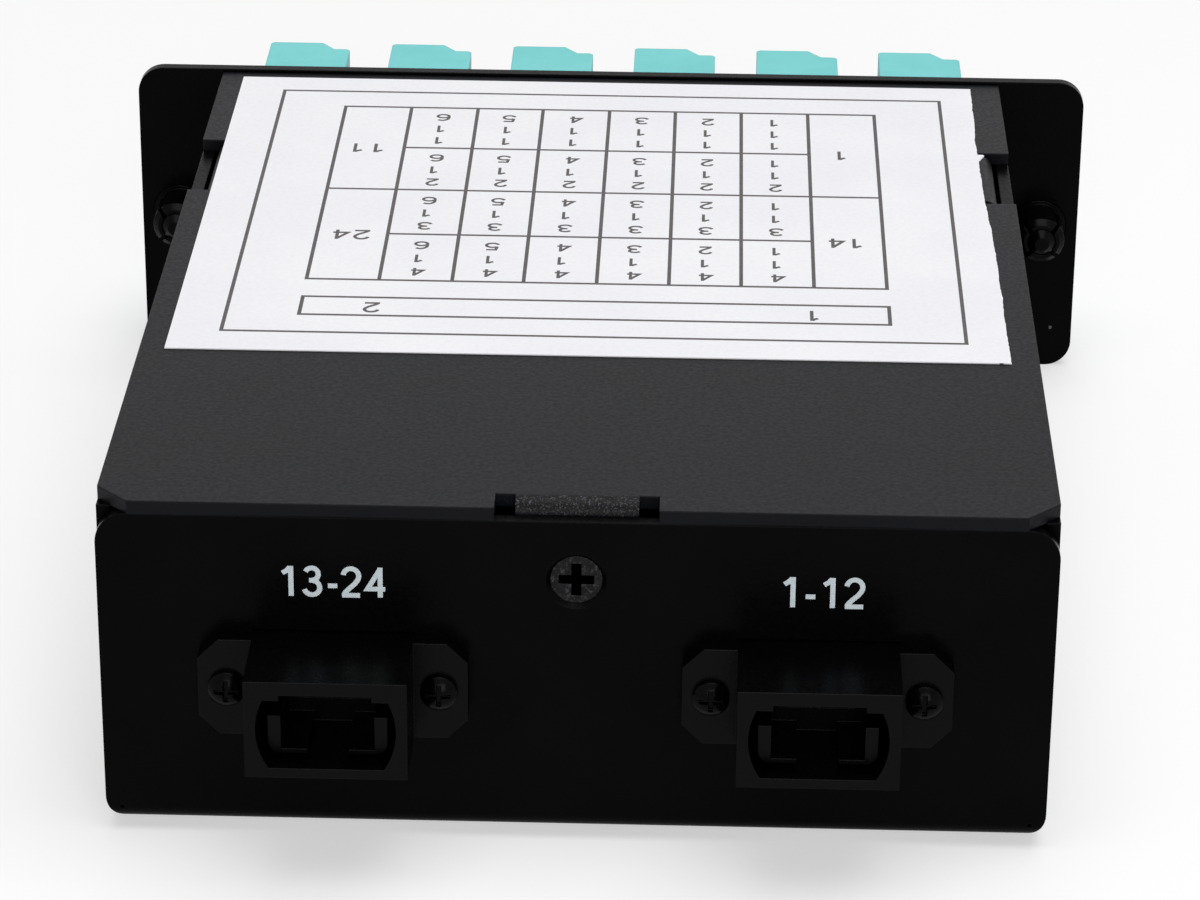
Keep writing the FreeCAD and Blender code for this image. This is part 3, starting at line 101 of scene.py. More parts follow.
def new_material(name):
    """Return a material's empty node tree with a shader and an output."""
    material = bpy.data.materials.new(name)
    material.use_nodes = True
    tree = material.node_tree
    tree.nodes.clear()
    shader = add(tree, "ShaderNodeBsdfPrincipled")
    add(tree, "ShaderNodeOutputMaterial", {"Surface": shader.outputs["BSDF"]})
    return material, tree, shader


def lumps(tree, size_mm, detail=2.0, roughness=0.5, stretch=(1, 1, 1)):
    """Return a random pattern on Object coordinates whose lumps are about size_mm across."""
    place = add(tree, "ShaderNodeTexCoord").outputs["Object"]
    mapped = add(tree, "ShaderNodeMapping", {"Vector": place}, {"Scale": stretch})
    scale = 1 / (size_mm * MM)
    settings = {"Scale": scale, "Detail": detail, "Roughness": roughness}
    noise = add(tree, "ShaderNodeTexNoise", {"Vector": mapped.outputs["Vector"]}, settings)
    return noise.outputs["Fac"]


def levels(start=0.35, end=0.65, low=0.0, high=1.0):
    """Return the values that take start to low and end to high, as a Map Range node's sockets.

    The default start and end are where most of a random pattern lies.
    """
    return {"From Min": start, "From Max": end, "To Min": low, "To Max": high}


def two_tone(tree, pattern, dark, light):
    """Return a colour that goes with a pattern from one sRGB colour to another."""
    factor = add(tree, "ShaderNodeMapRange", {"Value": pattern}, levels()).outputs["Result"]
    shades = {UNDER: linear(dark), OVER: linear(light)}
    return add(tree, "ShaderNodeMix", {FACTOR: factor}, shades, data_type="RGBA").outputs[MIXED]


def uneven_gloss(tree, shader, pattern, least, most):
    """Let the shader's roughness go with a pattern, from the least to the most."""
    rough = add(tree, "ShaderNodeMapRange", {"Value": pattern}, levels(low=least, high=most))
    tree.links.new(rough.outputs["Result"], shader.inputs["Roughness"])


def relief(tree, shader, height, depth_mm, strength, edge_mm=None):
    """Raise a height over the shader's surface by a depth, with sharp edges rounded by a radius."""
    links = {"Height": height}
    if edge_mm is not None:
        edge = add(tree, "ShaderNodeBevel", values={"Radius": edge_mm * MM}, samples=6)
        links["Normal"] = edge.outputs["Normal"]
    bump = add(tree, "ShaderNodeBump", links, {"Strength": strength, "Distance": depth_mm * MM})
    tree.links.new(bump.outputs["Normal"], shader.inputs["Normal"])


def spot_mask(tree, centre, half_sizes):
    """Return 1 inside an ellipsoid about a point and 0 outside, with a broken edge.

    The distance from the centre is counted in half sizes, a ragged pattern is added to it, and the
    mask falls from 1 to 0 between the solid and the clear reach.
    """
    solid_reach, clear_reach, ragged_mm = 1.15, 1.5, 0.35
    place = add(tree, "ShaderNodeTexCoord").outputs["Object"]
    ragged = lumps(tree, ragged_mm, detail=3.0)
    moved = add(tree, "ShaderNodeVectorMath", {0: place}, {1: tuple(centre)}, operation="SUBTRACT")
    sizes = tuple(half * MM for half in half_sizes)
    apart = {0: moved.outputs[0]}
    scaled = add(tree, "ShaderNodeVectorMath", apart, {1: sizes}, operation="DIVIDE")
    reach = add(tree, "ShaderNodeVectorMath", {0: scaled.outputs[0]}, operation="LENGTH")
    links = {0: reach.outputs["Value"], 1: ragged}
    broken = add(tree, "ShaderNodeMath", links, operation="ADD").outputs[0]
    fall = levels(solid_reach, clear_reach, low=1.0, high=0.0)
    return add(tree, "ShaderNodeMapRange", {"Value": broken}, fall).outputs["Result"]


def flecked(tree, colour, fleck, size_mm, start, end, mask=None):
    """Scatter small light flecks over a colour, everywhere or only where the mask is 1."""
    speckle = lumps(tree, size_mm, roughness=0.7)
    rise = levels(start, end)
    bright = add(tree, "ShaderNodeMapRange", {"Value": speckle}, rise).outputs["Result"]
    if mask is not None:
        links = {0: bright, 1: mask}
        bright = add(tree, "ShaderNodeMath", links, operation="MULTIPLY").outputs[0]
    links, light = {FACTOR: bright, UNDER: colour}, {OVER: linear(fleck)}
    return add(tree, "ShaderNodeMix", links, light, data_type="RGBA").outputs[MIXED]


# ---------------------------------------------------------------- materials


def powder_coat(name, dark, light, rough, lustre, wear=None, bend_shade_and_glints=None):
    """Black polyester powder coat, sprayed on folded steel and baked.

    It has a fine orange-peel grain that breaks up the sheen, and edges where the film pulls thin
    and catches the light. A bend can get painted shade, a darker colour, and pale flecks as painted
    glints.
    """
    material, tree, shader = new_material(name)
    grain = lumps(tree, 0.42, detail=3.0, roughness=0.6)
    colour = two_tone(tree, lumps(tree, 9.0), dark, light)
    if wear is not None:
        centre, half_sizes, worn = wear
        links = {FACTOR: spot_mask(tree, centre, half_sizes), UNDER: colour}
        spot = add(tree, "ShaderNodeMix", links, {OVER: linear(worn)}, data_type="RGBA")
        colour = spot.outputs[MIXED]
    # Painted shade and painted glints on the bend: its colour is darkened and pale flecks are
    # scattered on it.
    if bend_shade_and_glints is not None:
        centre, half_sizes, painted_bend_shade, speckle = bend_shade_and_glints
        mask = spot_mask(tree, centre, half_sizes)
        links = {FACTOR: mask, UNDER: colour}
        shaded_bend = add(tree, "ShaderNodeMix", links, {OVER: linear(painted_bend_shade)}, data_type="RGBA")
        colour = flecked(
            tree, shaded_bend.outputs[MIXED], speckle, size_mm=0.2, start=0.54, end=0.74, mask=mask)
    tree.links.new(colour, shader.inputs["Base Color"])
    uneven_gloss(tree, shader, grain, rough - 0.06, rough + 0.08)
    shader.inputs["IOR"].default_value = 1.5
    shader.inputs["Specular IOR Level"].default_value = lustre
    relief(tree, shader, grain, depth_mm=0.035, strength=0.55, edge_mm=0.22)
    return material


def moulded(name, dark, light, rough, grain_mm=0.3, depth_mm=0.008, soft_edge=0.12, lustre=0.5):
    """Injection-moulded thermoplastic.

    It has an even colour with the faint cloud of the melt's flow, a fine spark-eroded grain from
    the tool, and small soft edges. The real grain is about a tenth of a millimetre, and most pieces
    have it drawn coarser, so that it shows.
    """
    material, tree, shader = new_material(name)
    grain = lumps(tree, grain_mm)
    colour = two_tone(tree, lumps(tree, 6.0), dark, light)
    tree.links.new(colour, shader.inputs["Base Color"])
    uneven_gloss(tree, shader, grain, rough - 0.04, rough + 0.05)
    shader.inputs["IOR"].default_value = 1.5
    shader.inputs["Specular IOR Level"].default_value = lustre
    relief(tree, shader, grain, depth_mm, strength=0.4, edge_mm=soft_edge)
    return material


def blackened(name, dark, light, rough, lustre, scuff=None, face_y=None):
    """Black passivate over zinc.

    It is a thin glassy black film with small glints and grey scuffs where a driver has rubbed it.
    Behind the screw's face the recess can get painted shade: it is painted pure black and gives
    nothing back.
    """
    material, tree, shader = new_material(name)
    stain = lumps(tree, 0.9, detail=3.0)
    colour = two_tone(tree, stain, dark, light)
    if scuff is not None:
        colour = flecked(tree, colour, scuff, size_mm=0.5, start=0.52, end=0.72)
    # Painted shade in the recess: past the screw's face the colour goes to pure black and the
    # surface to a black metal, so it reflects nothing.
    if face_y is not None:
        place = add(tree, "ShaderNodeTexCoord").outputs["Object"]
        depth = add(tree, "ShaderNodeSeparateXYZ", {"Vector": place}).outputs["Y"]
        recess_shade_ramp = levels(face_y + 0.05 * MM, face_y + 0.12 * MM)
        inside = add(tree, "ShaderNodeMapRange", {"Value": depth}, recess_shade_ramp).outputs["Result"]
        links, black = {FACTOR: inside, UNDER: colour}, {OVER: linear("#000000")}
        colour = add(tree, "ShaderNodeMix", links, black, data_type="RGBA").outputs[MIXED]
        tree.links.new(inside, shader.inputs["Metallic"])
    tree.links.new(colour, shader.inputs["Base Color"])
    uneven_gloss(tree, shader, stain, rough - 0.05, rough + 0.08)
    shader.inputs["Specular IOR Level"].default_value = lustre
    relief(tree, shader, stain, depth_mm=0.03, strength=0.5, edge_mm=0.12)
    return material


def plated(name, dark, light, rough):
    """Plated steel: the plating's metallic lustre over fine turning or rolling lines.

    The real lines are a few hundredths of a millimetre apart and are drawn coarser, so that they
    show.
    """
    material, tree, shader = new_material(name)
    lines = lumps(tree, 0.12, roughness=0.6, stretch=(1, 8, 1))
    colour = two_tone(tree, lumps(tree, 1.6), dark, light)
    tree.links.new(colour, shader.inputs["Base Color"])
    uneven_gloss(tree, shader, lines, rough - 0.06, rough + 0.08)
    shader.inputs["Metallic"].default_value = 1.0
    relief(tree, shader, lines, depth_mm=0.004, strength=0.4, edge_mm=0.1)
    return material


def label_film():
    """White polyester film with a matt topcoat: near white, with the coating's fine specks."""
    material, tree, shader = new_material("matt_white_label_film")
    specks = lumps(tree, 0.5, detail=4.0, roughness=0.7)
    base = two_tone(tree, lumps(tree, 14.0), "#EDEDF1", "#F1F1F4")
    faint = levels(start=0.42, end=0.66, high=0.10)
    dull = add(tree, "ShaderNodeMapRange", {"Value": specks}, faint).outputs["Result"]
    links, grey = {FACTOR: dull, UNDER: base}, {OVER: linear("#B9BAC2")}
    colour = add(tree, "ShaderNodeMix", links, grey, data_type="RGBA").outputs[MIXED]
    tree.links.new(colour, shader.inputs["Base Color"])
    shader.inputs["Roughness"].default_value = 0.7
    shader.inputs["Specular IOR Level"].default_value = 0.3
    relief(tree, shader, specks, depth_mm=0.006, strength=0.3)
    return material


def thin_film(name, dark, light, rough):
    """A thin even film, for printing inks and for the painted shadow line, whose cover varies a
    little with the surface under it.
    """
    material, tree, shader = new_material(name)
    cover = lumps(tree, 0.35, detail=3.0)
    tree.links.new(two_tone(tree, cover, dark, light), shader.inputs["Base Color"])
    shader.inputs["Roughness"].default_value = rough
    shader.inputs["Specular IOR Level"].default_value = 0.25
    relief(tree, shader, cover, depth_mm=0.004, strength=0.3)
    return material


def looked_at(tree):
    """Return 1 for rays that see the studio directly, in a reflection or through glass."""
    path = add(tree, "ShaderNodeLightPath")
    bent = {0: path.outputs["Is Glossy Ray"], 1: path.outputs["Is Transmission Ray"]}
    reflected = add(tree, "ShaderNodeMath", bent, operation="MAXIMUM")
    any_of = {0: path.outputs["Is Camera Ray"], 1: reflected.outputs[0]}
    return add(tree, "ShaderNodeMath", any_of, operation="MAXIMUM").outputs[0]


def floor_paint():
    """Matt white studio floor: white in view and in reflections, grey to light it scatters."""
    lit_share = 0.5
    material, tree, shader = new_material("matt_white_floor")
    shader.inputs["Roughness"].default_value = 0.9
    shader.inputs["Specular IOR Level"].default_value = 0.0
    seen = looked_at(tree)
    tones = {UNDER: linear("#8A8A8E"), OVER: linear("#FFFFFF")}
    tone = add(tree, "ShaderNodeMix", {FACTOR: seen}, tones, data_type="RGBA")
    tree.links.new(tone.outputs[MIXED], shader.inputs["Base Color"])
    glow = add(tree, "ShaderNodeEmission", values={"Color": linear("#FFFFFF"), "Strength": 1.0})
    share = add(tree, "ShaderNodeMath", {0: seen}, {1: lit_share}, operation="MULTIPLY")
    links = {0: share.outputs[0], 1: shader.outputs[0], 2: glow.outputs[0]}
    both = add(tree, "ShaderNodeMixShader", links)
    output = next(node for node in tree.nodes if node.type == "OUTPUT_MATERIAL")
    tree.links.new(both.outputs[0], output.inputs["Surface"])
    return material


# Worn spots, and the cover's bend with painted shade and painted glints: the centre, the half sizes
# in millimetres, and the colours that lie there.
EAR_SPECK = (case(50.6, 111.0, 3.6), (0.22, 1.0, 0.25), "#6A6A6E")
COVER_NICK = (case(41.7, 66.6, CASE_HEIGHT), (0.45, 1.3, 0.5), "#08080A")
# Painted shade and painted glints: the cover's bend is painted darker than the coat, with pale
# flecks for its sparkle.
BEND_PAINTED_SHADE_AND_GLINTS = (case(0.0, 2.1, 32.4), (9.5, 1.15, 1.5), "#030304", "#5A5A60")
# Boots, jackets and zirconia aren't moulded thermoplastic, but have the same look: one even colour
# with a faint cloud, a fine grain and soft edges.
FINISHES = {
    "tray_coat": powder_coat(
        "black_powder_coat_tray", "#020203", "#040405", 0.28, 0.036, EAR_SPECK),
    # Painted light: the cover's coat is painted lighter and bluer than the tray's, though both are
    # the same black coat, for the lit top beside the shaded rear wall.
    "cover_coat": powder_coat(
        "black_powder_coat_cover", "#08090D", "#0A0B10", 0.42, 0.096, COVER_NICK, BEND_PAINTED_SHADE_AND_GLINTS),
    "label_film": label_film(),
    "black_screw": blackened("black_zinc_plate", "#010102", "#030304", 0.17, 0.05),
    "mpo_housing": moulded("moulded_black_thermoplastic", "#010101", "#020203", 0.3, lustre=0.075),
    "plug_aqua": moulded("moulded_aqua_plug", "#6CCBC8", "#74D2CF", 0.42),
    "mt_ferrule": moulded("moulded_resin_ferrule", "#0A0A0B", "#0E0E10", 0.5, grain_mm=0.12),
    "boot_rubber": moulded("moulded_soft_boot", "#C8C8C4", "#D2D2CE", 0.6),
    "fibre_jacket": moulded("extruded_aqua_jacket", "#6CCBC8", "#74D2CF", 0.45),
    "fanout_plastic": moulded("moulded_black_fanout", "#101011", "#151517", 0.5),
    "plated_steel": plated("bright_zinc_plate", "#B9BBBD", "#CFD0D2", 0.3),
    "adapter_aqua": moulded(
        "moulded_aqua_adapter", "#66C9C9", "#6ECFCF", 0.4,
        grain_mm=0.35, depth_mm=0.006, soft_edge=0.25, lustre=0.4),
    "spring_steel": plated("stainless_spring_strip", "#B4B5B6", "#CACBCC", 0.25),
    "plug_beige": moulded("moulded_beige_plug", "#D2C9AE", "#DAD2BA", 0.42),
    "zirconia": moulded(
        "ground_zirconia", "#EDEBE4", "#F2F1EC", 0.25, grain_mm=0.08, depth_mm=0.002),
    "latch_nylon": moulded(
        "black_nylon_latch", "#020203", "#030304", 0.24,
        grain_mm=0.5, depth_mm=0.004, soft_edge=0.2, lustre=0.05),
}
# The cover screw's scuffs are wear; the black in its recess is painted shade.
SCUFFED_SCREW_WITH_PAINTED_RECESS_SHADE = blackened(
    "scuffed_black_zinc_painted_recess_shade", "#0A0A0C", "#161618", 0.34, 0.12,
    scuff="#46464A", face_y=SCREW_FACE_Y)
LABEL_INK = thin_film("dark_grey_label_ink", "#4E4A4B", "#5C5858", 0.6)
REAR_INK = thin_film("white_screen_ink", "#D6E4E9", "#E4EEF2", 0.5)
# Painted shadow: a dark line along the label's near edge stands in for the shadow under it.
LABEL_EDGE_PAINTED_SHADOW = thin_film("painted_shadow_line", "#161415", "#221F20", 0.8)


def dress_nodes():
    """Give every CAD node the finish of its material slot, and the cover's screw its worn one, with
    painted shade in its recess.
    """
    for entry in frame["record"]["subparts"]:
        node = frame["nodes"][entry["node"]]
        for slot in node.material_slots:
            slot.material = FINISHES[entry["material_slot"]]
    for slot in frame["nodes"]["cover_screw"].material_slots:
        slot.material = SCUFFED_SCREW_WITH_PAINTED_RECESS_SHADE


# ---------------------------------------------------------------- meshes


def make_piece(name, vertices, faces, material):
    """Build a mesh object at the origin from corners and faces, merged and turned outwards."""
    same_place = 1e-8
    mesh = bpy.data.meshes.new(name)
    mesh.from_pydata(np.asarray(vertices).tolist(), [], [list(map(int, face)) for face in faces])
    mesh.update()
    solid = bmesh.new()
    solid.from_mesh(mesh)
    bmesh.ops.remove_doubles(solid, verts=solid.verts, dist=same_place)
    bmesh.ops.recalc_face_normals(solid, faces=solid.faces)
    solid.to_mesh(mesh)
    solid.free()
    mesh.materials.append(material)
    piece = bpy.data.objects.new(name, mesh)
    bpy.context.scene.collection.objects.link(piece)
    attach(piece, "case")
    return piece


def band(points, closed, width, height):
    """Carry a rectangle along a plan path.

    The path's points are moved by half the width to both sides, along the sum of the normals of
    the two runs that meet there over one plus their dot product, which keeps the width in the
    corners. Both rims are raised by the height, and an open path gets end caps.
    """
    points = np.asarray(points, dtype=float)
    runs = np.roll(points, -1, axis=0) - points if closed else points[1:] - points[:-1]
    runs = runs / np.linalg.norm(runs, axis=1)[:, None]
    sideways = np.stack([-runs[:, 1], runs[:, 0]], axis=1)
    before = np.roll(sideways, 1, axis=0) if closed else np.vstack([sideways[:1], sideways])
    after = sideways if closed else np.vstack([sideways, sideways[-1:]])
    mitre = (before + after) / (1 + (before * after).sum(axis=1))[:, None]
    rims = [points + side * mitre * width / 2 for side in (1, -1)]
    count = len(points)
    rings = [np.column_stack([rim, np.full(count, lift)]) for lift in (0, height) for rim in rims]
    here = np.arange(count if closed else count - 1)
    there = (here + 1) % count
    faces = []
    for ring, next_ring in ((0, 1), (1, 3), (3, 2), (2, 0)):
        a, b = ring * count, next_ring * count
        faces += np.stack([here + a, there + a, there + b, here + b], axis=1).tolist()
    if not closed:
        for end in (0, count - 1):
            faces.append([end, end + count, end + 3 * count, end + 2 * count])
    return np.vstack(rings), faces


def gather(parts):
    """Join (corners, faces) parts into one list of corners and one of faces."""
    corners, faces, count = [], [], 0
    for part_corners, part_faces in parts:
        corners.append(part_corners)
        faces += [[index + count for index in face] for face in part_faces]
        count += len(part_corners)
    return np.vstack(corners), faces


def bow(centre_x, centre_y, radius_x, radius_y, start, end, count=14):
    """Return points on an ellipse from one angle to another, in degrees."""
    angle = np.radians(np.linspace(start, end, count))
    across, up = radius_x * np.cos(angle), radius_y * np.sin(angle)
    return np.stack([centre_x + across, centre_y + up], axis=1)


def numeral(character):
    """Return the strokes of a numeral from 1 to 6 or of a dash, as (points, closed).

    The numerals are a plain sans-serif, in a cell one unit high, with their bowls as ellipse arcs.
    """
    if character == "1":
        flag = ((0.15, 0.76), (0.28, 0.84), (0.39, 0.96))
        return [(flag, False), (((0.42, 1), (0.42, 0)), False)]
    if character == "2":
        top = bow(0.32, 0.70, 0.25, 0.25, 172, -32)
        foot = ((0.43, 0.43), (0.27, 0.29), (0.14, 0.16), (0.085, 0.05))
        return [(np.vstack([top, foot]), False), (((0.03, 0.055), (0.6, 0.055)), False)]
    if character == "3":
        low = bow(0.31, 0.29, 0.25, 0.24, 88, -165)
        return [(bow(0.31, 0.745, 0.21, 0.205, 158, -88), False), (low, False),
                (((0.22, 0.535), (0.33, 0.535)), False)]
    if character == "4":
        arm = ((0.46, 0.93), (0.065, 0.28), (0.63, 0.28))
        return [(arm, False), (((0.47, 1), (0.47, 0)), False)]
    if character == "5":
        bowl = bow(0.31, 0.33, 0.26, 0.28, 132, -160)
        return [(((0.56, 0.945), (0.17, 0.945), (0.115, 0.51)), False), (bowl, False)]
    if character == "6":
        back = bow(0.36, 0.5, 0.27, 0.45, 52, 188)
        return [(back, False), (bow(0.33, 0.3, 0.24, 0.25, 0, 360, 29)[:-1], True)]
    dash = ((0.04, 0.36), (0.34, 0.36))
    return [(dash, False)]


DIGIT_ADVANCE, DASH_ADVANCE = 0.78, 0.46


def lettered(entries, across, upward, outward):
    """Set numbers on a face, each entry (text, centre, width, height, pen) in metres.

    The numerals' strokes stand one advance apart, are stretched to the width and height and drawn
    with the pen's width, each stroke a hair higher than the last so that no two faces coincide.
    """
    axes = np.array([across, upward, outward], dtype=float)
    parts = []
    for text, centre, width, height, pen in entries:
        strokes, start = [], 0.0
        for character in text:
            for points, closed in numeral(character):
                strokes.append((np.asarray(points) + (start, 0), closed))
            start += DASH_ADVANCE if character == "-" else DIGIT_ADVANCE
        every = np.vstack([points for points, _ in strokes])
        low, high = every.min(axis=0), every.max(axis=0)
        room = np.array([width, height]) - pen * np.array([1, 0])
        scale = room / np.maximum(high - low, (1e-9, 1.0))
        for index, (points, closed) in enumerate(strokes):
            flat_points = (points - ((low[0] + high[0]) / 2, 0.5)) * scale
            corners, faces = band(flat_points, closed, pen, PRINT_HEIGHT + index * STROKE_STEP)
            parts.append((corners @ axes + np.array(centre), faces))
    return gather(parts)


# ---------------------------------------------------------------- print and the label's edges

COLUMN_LINES = np.array([-28.75, -21.5, -14.2, -7.06, 0.24, 7.45, 14.66, 21.93, 29.2])
ROW_LINES = np.array([51.6, 63.8, 76.1, 88.3, 100.5])
LINE = 0.38
CELL_DIGIT, CELL_DIGIT_PITCH, CELL_DROP, CELL_PEN = 1.95, 3.5, 0.35, 0.31
PORT_DIGIT, PORT_PEN, REAR_PEN = 2.45, 0.35, 0.46
LABEL_LEFT, LABEL_RIGHT = LABEL_LOW.x / MM, LABEL_HIGH.x / MM
LABEL_NEAR, LABEL_FAR = (LABEL_LOW.y - REAR_Y) / MM, (LABEL_HIGH.y - REAR_Y) / MM
TRIM_ROWS = [33.8, 63.0, 76.0, 90.0, 105.0, 109.4]
TRIM_EDGE = [40.60, 40.48, 40.20, 39.97, 40.17, 40.20]
FLAP_ROWS = (87.3, 89.15)


def flat(x, y):
    """Return a label point's place in the frame's plan."""
    place = case(x, y, 0)
    return place.x, place.y


def frame_path(left, near, right, far):
    """Return the four plan corners of a printed rectangle."""
    return [flat(left, near), flat(right, near), flat(right, far), flat(left, far)]


def print_label_lines():
    """The outer frame, the table and the strip under it."""
    rectangles = [
        frame_path(-35.9, 38.3, 36.5, 105.2),
        frame_path(COLUMN_LINES[0], ROW_LINES[0], COLUMN_LINES[-1], ROW_LINES[-1]),
        frame_path(-28.7, 42.6, 29.25, 47.1),
    ]
    vertices, faces = gather([band(path, True, LINE * MM, PRINT_HEIGHT) for path in rectangles])
    make_piece("label_frames", vertices + (0, 0, LABEL_TOP), faces, LABEL_INK)
    half = LINE / 2
    rules = []
    for x in COLUMN_LINES[1:-1]:
        rules.append((flat(x, ROW_LINES[0] + half), flat(x, ROW_LINES[-1] - half)))
    for row, y in enumerate(ROW_LINES[1:-1]):
        first, last = (0, 8) if row == 1 else (1, 7)
        for left, right in zip(COLUMN_LINES[first:last], COLUMN_LINES[first + 1:last + 1]):
            rules.append((flat(left + half, y), flat(right - half, y)))
    vertices, faces = gather([band(rule, False, LINE * MM, PRINT_HEIGHT) for rule in rules])
    make_piece("label_table_lines", vertices + (0, 0, LABEL_TOP), faces, LABEL_INK)


def print_label_numbers():
    """The stacked cell numbers and the port numbers, all read from the front panel's side."""
    entries = []
    for row in range(4):
        middle = (ROW_LINES[row] + ROW_LINES[row + 1]) / 2 - CELL_DROP
        for column in range(6):
            x = (COLUMN_LINES[column + 1] + COLUMN_LINES[column + 2]) / 2
            code = str(100 * (4 - row) + 10 + 6 - column)
            for place, digit in enumerate(code):
                centre = case(x, middle + CELL_DIGIT_PITCH * (place - 1), 0)
                width = 0.9 if digit == "1" else 1.55
                spot = (centre.x, centre.y, LABEL_TOP)
                entries.append((digit, spot, width * MM, CELL_DIGIT * MM, CELL_PEN * MM))
    for text, x, y, width in (
        ("1", 25.45, 88.1, 0.95), ("14", 25.25, 63.4, 3.65), ("11", -25.27, 88.0, 3.3),
        ("24", -25.22, 63.4, 4.1), ("1", 21.9, 44.5, 0.95), ("2", -21.7, 44.6, 1.85),
    ):
        centre = case(x, y, 0)
        spot = (centre.x, centre.y, LABEL_TOP)
        entries.append((text, spot, width * MM, PORT_DIGIT * MM, PORT_PEN * MM))
    vertices, faces = lettered(entries, (-1, 0, 0), (0, -1, 0), (0, 0, 1))
    make_piece("label_numbers", vertices, faces, LABEL_INK)


def strip(inner_x, outer_x, y, low, high):
    """Build a closed flat strip from the X of its two edges at rows of Y, in case millimetres.

    The two edges at the low and the high Z make four lines along the strip. Each is joined to the
    next by a row of quads, and the ends are capped.
    """
    corners = []
    for x, z in ((inner_x, low), (outer_x, low), (outer_x, high), (inner_x, high)):
        corners.append(np.column_stack([x * MM, REAR_Y + y * MM, np.full(len(y), z)]))
    count = len(y)
    here = np.arange(count - 1)
    faces = []
    for side in range(4):
        a, b = side * count, (side + 1) % 4 * count
        faces += np.stack([here + a, here + a + 1, here + b + 1, here + b], axis=1).tolist()
    for end in (0, count - 1):
        faces.append([end + side * count for side in range(4)])
    return np.vstack(corners), faces


def fray_label():
    """The label's hand-trimmed right edge, its torn flap at the notch, and a painted shadow line
    along the near edge.

    The edge's X is the trim's, with straight runs between its rows, plus a slow drift of random
    bends and a fine random roughness. The strip reaches in under the label's rim by the overlap.
    Its faces lie a hair inside the label's, and the flap's ten hairs inside the strip's, so that no
    two faces coincide.
    """
    row_count, bend_count = 190, 34
    bend_depth, roughness = 0.055, 0.018
    overlap, least, hair = 0.4, 0.1, 0.2e-6
    rows = np.linspace(LABEL_NEAR, LABEL_FAR, row_count)
    rng = np.random.default_rng(7)
    bends = rng.normal(0, bend_depth, bend_count)
    drift = np.interp(np.linspace(0, 1, row_count), np.linspace(0, 1, bend_count), bends)
    trimmed = np.interp(rows, TRIM_ROWS, TRIM_EDGE) + drift + rng.normal(0, roughness, row_count)
    inner = np.full(row_count, LABEL_RIGHT - overlap)
    low = COVER_TOP + hair
    high = LABEL_TOP - 2 * hair
    edge = strip(inner, np.maximum(trimmed, inner + least), rows, low, high)
    reach = np.array([0.02, 0.10, 0.24, 0.20, 0.33, 0.42, 0.38, 0.52, 0.60, 0.66, 0.63, 0.48])
    torn = np.linspace(*FLAP_ROWS, reach.size)
    flap_inner, flap_edge = np.full(reach.size, 39.8), 40.02
    flap = strip(flap_inner, flap_edge + reach, torn, low + 10 * hair, high - 10 * hair)
    vertices, faces = gather([edge, flap])
    make_piece("label_cut_edge", vertices, faces, FINISHES["label_film"])
    # Painted shadow: a dark strip just beyond the label's near edge, where its edge casts shade.
    shadow_line_y, shadow_line_width = LABEL_NEAR - 0.12, 0.22
    path = [flat(LABEL_LEFT, shadow_line_y), flat(LABEL_RIGHT + 0.6, shadow_line_y)]
    vertices, faces = band(path, False, shadow_line_width * MM, PRINT_HEIGHT)
    make_piece("label_edge_painted_shadow", vertices + (0, 0, COVER_TOP), faces, LABEL_EDGE_PAINTED_SHADOW)


def print_rear_numbers():
    """The fibre ranges over the two rear adapters."""
    entries = []
    for text, left, right, low, high in (
        ("13-24", -26.72, -16.99, 23.7, 26.7), ("1-12", 18.49, 26.08, 23.55, 26.57),
    ):
        centre = case((left + right) / 2, 0, (low + high) / 2)
        size = ((right - left) * MM, (high - low) * MM)
        entries.append((text, tuple(centre), *size, REAR_PEN * MM))
    vertices, faces = lettered(entries, (1, 0, 0), (0, 0, 1), (0, -1, 0))
    make_piece("rear_numbers", vertices, faces, REAR_INK)


# ---------------------------------------------------------------- stage, light and camera


def make_floor():
    """A wide level floor under the lowest edge of the part."""
    reach = 6.0
    corners = [(-reach, -reach, 0), (reach, -reach, 0), (reach, reach, 0), (-reach, reach, 0)]
    mesh = bpy.data.meshes.new("studio_floor")
    mesh.from_pydata(corners, [], [(0, 1, 2, 3)])
    mesh.materials.append(floor_paint())
    floor = bpy.data.objects.new("studio_floor", mesh)
    floor.location.z = CAD_LOW.z
    bpy.context.scene.collection.objects.link(floor)


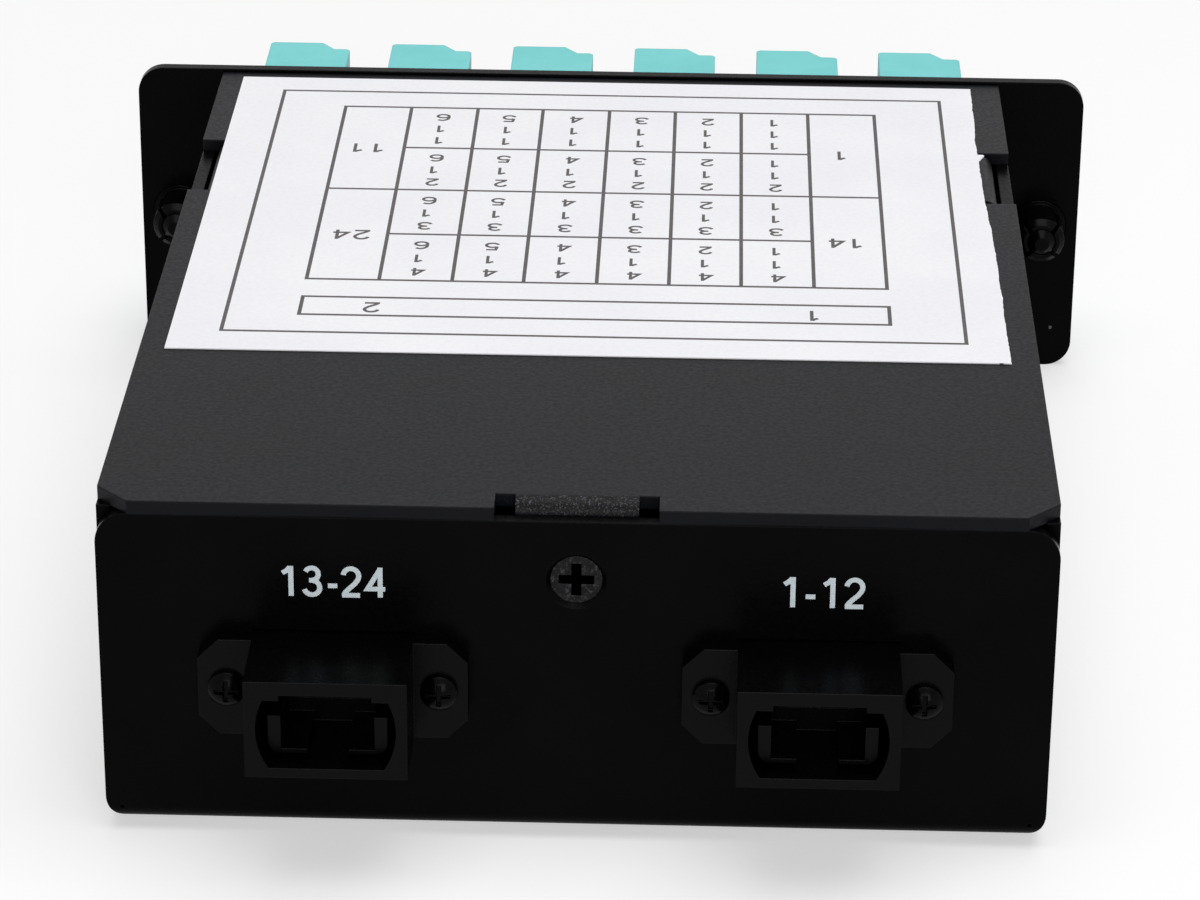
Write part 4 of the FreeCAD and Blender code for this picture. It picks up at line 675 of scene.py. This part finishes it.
def make_lamp(name, place, target, width, height, power):
    """A rectangular soft box at a place in metres, facing a target."""
    lamp = bpy.data.lights.new(name, "AREA")
    lamp.shape = "RECTANGLE"
    lamp.size, lamp.size_y = width, height
    lamp.energy = power
    holder = bpy.data.objects.new(name, lamp)
    holder.location = place
    holder.rotation_mode = "QUATERNION"
    holder.rotation_quaternion = (target - place).to_track_quat("-Z", "Y")
    bpy.context.scene.collection.objects.link(holder)


def make_light():
    """A large soft box overhead, a fill in front, and an even sky."""
    centre = (CAD_LOW + CAD_HIGH) / 2
    make_lamp("overhead_soft_box", centre + Vector((0.1, -0.05, 1.0)), centre, 1.0, 0.8, 8.5)
    make_lamp("front_fill", centre + Vector((0.15, -1.1, 0.4)), centre, 0.8, 0.6, 5.5)
    world = bpy.data.worlds.new("studio")
    world.use_nodes = True
    tree = world.node_tree
    tree.nodes.clear()
    sky = add(tree, "ShaderNodeBackground", values={"Color": linear("#FFFFFF"), "Strength": 0.22})
    paper = add(tree, "ShaderNodeBackground", values={"Color": linear("#FFFFFF"), "Strength": 1.0})
    links = {0: looked_at(tree), 1: sky.outputs[0], 2: paper.outputs[0]}
    both = add(tree, "ShaderNodeMixShader", links)
    add(tree, "ShaderNodeOutputWorld", {"Surface": both.outputs[0]})
    bpy.context.scene.world = world


def make_camera():
    """The camera, behind and above the rear wall, with a long lens."""
    pitch, yaw, roll = -0.436, -0.0254, 0.0085
    lens = bpy.data.cameras.new("camera")
    lens.sensor_width = 36.0
    lens.lens = 133.43
    lens.clip_start, lens.clip_end = 0.01, 100.0
    across = math.cos(pitch)
    forward = Vector((math.sin(yaw) * across, math.cos(yaw) * across, math.sin(pitch)))
    level = Vector((math.cos(yaw), -math.sin(yaw), 0))
    rise = level.cross(forward)
    right = math.cos(roll) * level + math.sin(roll) * rise
    up = -math.sin(roll) * level + math.cos(roll) * rise
    camera = bpy.data.objects.new("camera", lens)
    pose = Matrix((right, up, -forward)).transposed().to_4x4()
    pose.translation = case(11.12, -357.46, 205.39)
    camera.matrix_world = pose
    bpy.context.scene.collection.objects.link(camera)
    bpy.context.scene.camera = camera


make_camera()
dress_nodes()
print_label_lines()
print_label_numbers()
print_rear_numbers()
fray_label()
make_floor()
make_light()
bpy.context.scene.view_settings.view_transform = "Standard"
